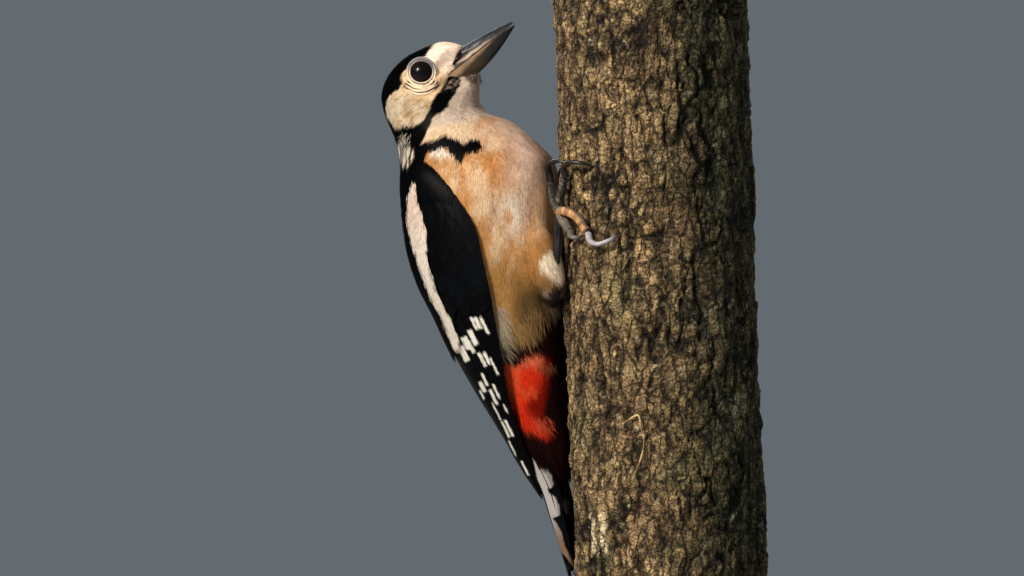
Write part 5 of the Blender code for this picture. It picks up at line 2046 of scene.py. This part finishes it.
def scute_tree():
    """Geometry nodes that lay overlapping arched scales along lines."""
    tree = bpy.data.node_groups.new("Scales along toes", "GeometryNodeTree")
    tree.is_modifier = True
    new = tree.interface.new_socket
    new("Geometry", in_out="INPUT", socket_type="NodeSocketGeometry")
    new("Spacing", in_out="INPUT", socket_type="NodeSocketFloat").default_value = 0.0009
    new("Finish", in_out="INPUT", socket_type="NodeSocketMaterial")
    new("Geometry", in_out="OUTPUT", socket_type="NodeSocketGeometry")
    source, sink = tree.nodes.new("NodeGroupInput").outputs, tree.nodes.new("NodeGroupOutput").inputs
    line = out(tree, "GeometryNodeMeshToCurve", Mesh=source["Geometry"])
    even = out(tree, "GeometryNodeResampleCurve", _mode="LENGTH", Curve=line, Length=source["Spacing"])
    ball = out(tree, "GeometryNodeMeshUVSphere", Segments=14, Rings=9, Radius=1.0)
    size = out(tree, "GeometryNodeInputNamedAttribute", _data_type="FLOAT", Name="size")
    away = out(tree, "GeometryNodeInputNamedAttribute", _data_type="FLOAT_VECTOR", Name="out")
    tangent = out(tree, "GeometryNodeInputTangent")
    first = out(tree, "FunctionNodeAlignRotationToVector", _axis="Z", Vector=away)
    second = out(
        tree, "FunctionNodeAlignRotationToVector", _axis="X", _pivot_axis="Z", Rotation=first, Vector=tangent
    )
    stretch = maths(tree, "VectorMath", "SCALE", (0.42, 0.92, 0.52), Scale=size)
    laid = out(tree, "GeometryNodeInstanceOnPoints", Points=even, Instance=ball, Rotation=second, Scale=stretch)
    real = out(tree, "GeometryNodeRealizeInstances", Geometry=laid)
    even_faces = out(tree, "GeometryNodeSetShadeSmooth", Geometry=real)
    done = out(tree, "GeometryNodeSetMaterial", Geometry=even_faces, Material=source["Finish"])
    tree.links.new(done, sink[0])
    return tree


def scutes(name, lines, finish, spacing):
    """Scales laid by the geometry nodes along lines of (points, sizes, outward directions, colour)."""
    mesh = bpy.data.meshes.new(name)
    points, sizes, ways = (np.concatenate(field) for field in list(zip(*lines))[:3])
    edges, start = [], 0
    for line in lines:
        edges += [(start + k, start + k + 1) for k in range(len(line[0]) - 1)]
        start += len(line[0])
    mesh.from_pydata([tuple(v) for v in to_world(points)], edges, [])
    size = mesh.attributes.new("size", "FLOAT", "POINT")
    size.data.foreach_set("value", sizes.astype(np.float32) * MM)
    turned = to_world(ways) - to_world(0 * ways)
    away = mesh.attributes.new("out", "FLOAT_VECTOR", "POINT")
    away.data.foreach_set("vector", unit(turned).astype(np.float32).ravel())
    set_colours(mesh, np.concatenate([np.broadcast_to(colour, some.shape) for some, _, _, colour in lines]))
    path = linked(name + "_way", mesh)
    tree = bpy.data.node_groups.get("Scales along toes") or scute_tree()
    laying = path.modifiers.new("Scales", "NODES")
    laying.node_group = tree
    sockets = {item.name: item.identifier for item in tree.interface.items_tree if item.in_out == "INPUT"}
    laying[sockets["Spacing"]] = spacing
    laying[sockets["Finish"]] = material(finish)
    path.update_tag()
    return linked(name, evaluated(path))


def make_foot(side, label, axis, spacing):
    """The skin and the scales of a tarsus and its toes."""
    foot, heel = on_bark(FOOT, side), on_bark(HEEL, side)
    # the shank is near black, partly its own dark grey and partly painted shade
    limbs = [("shank", [foot, (foot + heel) / 2, heel], (1.9, 1.6, 1.8), linear(20, 18, 17))]
    for number, (toe_way, _) in TOES.items():
        way = [foot] + [on_bark(place, side) for place in toe_way]
        limbs.append((number, way, np.linspace(1.9, 1.5, len(way)), TOE_COLOURS[number]))
    parts, lines = [], []
    for number, way, radii, colour in limbs:
        away = unit((np.mean(way, 0) - axis) * (1, 1, 0))
        rings, rows, up = tube_rings(way, radii, 16, 20, away, 0.92)
        run = np.linspace(0, 1, len(rings))
        pads = 1 + 0.15 * np.sin(run * pi * 2 * (len(way) - 1))
        pads = pads + 0.12 * smooth(run, 0.9, 1.0) * (number != "shank")
        rings = rows[:, None, :3] + (rings - rows[:, None, :3]) * pads[:, None, None]
        under = np.concatenate((np.tile(np.cos(around(20)), len(rings)), (0, 0)))
        sole = mix(colour, linear(150, 132, 100), 0.35 * smooth(-under, 0.3, 0.9))
        parts.append((*closed_tube(rings), sole))
        # the scales are paler in random patches, and on toe 4 they are painted orange and paler still as
        # highlights
        rim = linear(214, 160, 100) if number == "4" else linear(132, 124, 108)
        pale_and_lit = 0.15 + 0.3 * (number == "4") + 0.65 * noise(rows[:, :3], 0.8, 161)
        pale = mix(np.asarray(colour), rim, np.clip(pale_and_lit, 0, 1) * (number != "shank"))
        lines.append((rows[:, :3] + up * rows[:, 3:] * 0.62, rows[:, 3] * 1.02, up, pale))
    points, triangles, colour = joined(parts)
    lay(f"foot_skin_{label}", "leg_scales", (points, triangles), "toe skin", colour, f"foot_{label}")
    settle(scutes(f"toe_scales_{label}", lines, "toe skin", spacing), "leg_scales")


def make_feet(settings):
    """Tarsi and toes with their scales, and the curved claws."""
    for side, label in SIDES:
        axis = on_bark((0, 0, -LOG_RADIUS), side) * (1, 1, 0)
        make_foot(side, label, axis, settings.scale_spacing)
        for number, (_, claw_way) in TOES.items():
            *arch, (turn, height, clearance) = claw_way
            point = (turn, height, clearance - CLAW_GRIP[label][number])
            claw = [on_bark(place, side) for place in (*arch, point)]
            away = unit((claw[1] - axis) * (1, 1, 0))
            radii = 0.12 + 1.03 * np.linspace(1, 0, len(claw)) ** 0.36
            rings = tube_rings(claw, radii, 14, 20, away, 1.25)[0]
            run = np.concatenate((np.repeat(np.linspace(0, 1, len(rings)), 20), (0, 1)))
            colour = mix(CLAW_COLOURS[number], linear(20, 19, 20), smooth(run, 0.72, 0.95))
            name = f"claw_horn_{label}_{number}"
            lay(name, "claw_horn", closed_tube(rings), "claw horn", colour, f"claw_{label}_{number}")


# ---------------------------------------------------------------- stand and stage


def finish_stand():
    """The board and the rod keep their CAD shape and get their finishes."""
    for name, finish, slot in (
        ("stand_base", "oiled base", "base_wood"), ("stand_rod", "brushed rod", "rod_steel"),
    ):
        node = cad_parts[name]
        node.data.materials.clear()
        node.data.materials.append(material(finish))


def area_light(name, size, power, colour, way, distance, target):
    """A round lamp at a distance along a way from its target, facing it."""
    data = bpy.data.lights.new(name, "AREA")
    data.shape = "DISK"
    data.size = size
    data.energy = power
    data.color = colour
    lamp = linked(name, data)
    way = Vector(way).normalized()
    lamp.location = Vector(target) + way * distance
    lamp.rotation_euler = way.to_track_quat("Z", "Y").to_euler()
    return lamp


def make_stage(settings):
    """Floor, backdrop, soft lamps and camera."""
    scene = bpy.context.scene
    turn = around(96)
    edge = np.stack((1.2 * np.cos(turn), 1.2 * np.sin(turn), 0 * turn), -1)
    mesh = bpy.data.meshes.new("floor")
    mesh.from_pydata([tuple(v) for v in edge], [], [tuple(range(96))])
    mesh.materials.append(material("pale floor"))
    floor = linked("floor", mesh)
    world = bpy.data.worlds.new("Backdrop")
    scene.world = world
    world.use_nodes = True
    tree = world.node_tree
    soft = tree.nodes["Background"]
    soft.inputs["Color"].default_value = rgb(linear(176, 188, 204))
    soft.inputs["Strength"].default_value = settings.sky
    seen = out(tree, "ShaderNodeBackground", Color=rgb(BACKDROP), Strength=1.0)
    straight = add(tree, "ShaderNodeLightPath").outputs["Is Camera Ray"]
    both = out(tree, "ShaderNodeMixShader", Fac=straight, i1=soft.outputs[0], i2=seen)
    tree.links.new(both, tree.nodes["World Output"].inputs["Surface"])
    target = (-0.04, 0.0, 0.17)
    area_light("key", 0.5, settings.key_power, (1.0, 0.93, 0.84), (-0.6, -0.72, 0.5), 1.6, target)
    fill = area_light("fill", 1.2, settings.fill_power, (1.0, 0.95, 0.9), (0.45, -0.9, 0.1), 1.8, target)
    fill.visible_glossy = False
    area_light("back", 1.4, settings.back_power, (1.0, 0.97, 0.94), (0.1, 1.0, 0.4), 1.8, target)
    data = bpy.data.cameras.new("camera")
    data.sensor_width = 36
    data.lens = 36 * 3.0 / 0.389
    data.clip_end = 50
    camera = linked("camera", data)
    camera.location = (-0.0429, -3.0, 0.1594)
    camera.rotation_euler = (pi / 2, 0, 0)
    scene.camera = camera
    scene.view_settings.view_transform = "Standard"


# ---------------------------------------------------------------- add-on


class CoatSettings(bpy.types.PropertyGroup):
    barb_spacing: bpy.props.FloatProperty(
        name="Barb spacing", description="Distance between barbs on the body", default=0.00038, unit="LENGTH"
    )
    barbs: bpy.props.IntProperty(name="Barbs", description="Barbs in each small feather", default=5)
    skin_drop: bpy.props.FloatProperty(
        name="Skin drop", description="How much deeper than the coat's roots the skin lies", default=0.0,
        unit="LENGTH",
    )
    skin_grain: bpy.props.FloatProperty(
        name="Skin grain", description="Size of the skin's faces", default=0.0008, unit="LENGTH"
    )
    seed: bpy.props.IntProperty(name="Seed", description="Arrangement of the feathers", default=7)


class HeadSettings(bpy.types.PropertyGroup):
    pupil: bpy.props.FloatProperty(name="Pupil", description="Half angle of the pupil, degrees", default=27.0)
    iris: bpy.props.FloatProperty(name="Iris", description="Half angle of the iris, degrees", default=40.0)
    bristles: bpy.props.IntProperty(
        name="Bristles", description="Tufts of bristles at the nostrils", default=420
    )
    seed: bpy.props.IntProperty(name="Seed", description="Arrangement of the bristles", default=3)


class FootSettings(bpy.types.PropertyGroup):
    scale_spacing: bpy.props.FloatProperty(
        name="Scale spacing", description="Distance between the scales of a toe", default=0.00085, unit="LENGTH"
    )


class StageSettings(bpy.types.PropertyGroup):
    key_power: bpy.props.FloatProperty(name="Key", description="Main lamp", default=41.0, unit="POWER")
    fill_power: bpy.props.FloatProperty(name="Fill", description="Weak lamp", default=7.5, unit="POWER")
    back_power: bpy.props.FloatProperty(
        name="Back", description="Lamp behind the perch", default=14.0, unit="POWER"
    )
    sky: bpy.props.FloatProperty(name="Sky", description="Strength of the light from all round", default=0.3)


SETTINGS = {"coat": CoatSettings, "head": HeadSettings, "feet": FootSettings, "stage": StageSettings}


def operator(name, words, group, maker):
    """An operator class that runs one maker, with the settings of its group if it has one."""

    def execute(self, context):
        maker(*(getattr(context.scene, f"woodpecker_{label}") for label in group))
        return {"FINISHED"}

    fields = {
        "bl_idname": f"woodpecker.{name}", "bl_label": name.capitalize(), "__doc__": words, "execute": execute,
    }
    return type(f"WOODPECKER_OT_{name}", (bpy.types.Operator,), fields)


OPERATORS = tuple(
    operator(*row)
    for row in (
        ("skin", "Makes the skin", ("coat",), make_skin),
        ("coat", "Plants the small feathers", ("coat",), make_coat),
        ("thighs", "Plants the thighs' tufts", ("coat",), make_thighs),
        ("undertail", "Plants the red coverts", ("coat",), make_undertail),
        ("wisps", "Plants the loose barbs", ("coat",), make_wisps),
        ("wings", "Lays the wings' vanes", ("coat",), make_wings),
        ("shoulders", "Plants shoulders and mantle", ("coat",), make_shoulders),
        ("tail", "Lays the tail feathers", (), make_tail),
        ("bill", "Makes the bill", ("head",), make_bill),
        ("eyes", "Makes eyes and lids", ("head",), make_eyes),
        ("feet", "Makes feet and claws", ("feet",), make_feet),
        ("perch", "Makes the bark", (), make_perch),
        ("stand", "Finishes the stand", (), finish_stand),
        ("stage", "Sets floor, lamps and camera", ("stage",), make_stage),
    )
)


class WOODPECKER_PT_panel(bpy.types.Panel):
    """Buttons for each piece of the woodpecker"""

    bl_label = "Woodpecker"
    bl_idname = "WOODPECKER_PT_panel"
    bl_space_type = "VIEW_3D"
    bl_region_type = "UI"
    bl_category = "Woodpecker"

    def draw(self, context):
        for made in OPERATORS:
            self.layout.operator(made.bl_idname)
        for label in SETTINGS:
            group = getattr(context.scene, f"woodpecker_{label}")
            for field in group.bl_rna.properties:
                if field.identifier not in ("rna_type", "name"):
                    self.layout.prop(group, field.identifier)


CLASSES = (*SETTINGS.values(), *OPERATORS, WOODPECKER_PT_panel)


def register():
    for made in CLASSES:
        bpy.utils.register_class(made)
    for label, group in SETTINGS.items():
        setattr(bpy.types.Scene, f"woodpecker_{label}", bpy.props.PointerProperty(type=group))


def unregister():
    for label in SETTINGS:
        delattr(bpy.types.Scene, f"woodpecker_{label}")
    for made in reversed(CLASSES):
        bpy.utils.unregister_class(made)


def main():
    register()
    for made in OPERATORS:
        name = made.bl_idname.split(".")[1]
        getattr(bpy.ops.woodpecker, name)()


if __name__ == "__main__":
    main()
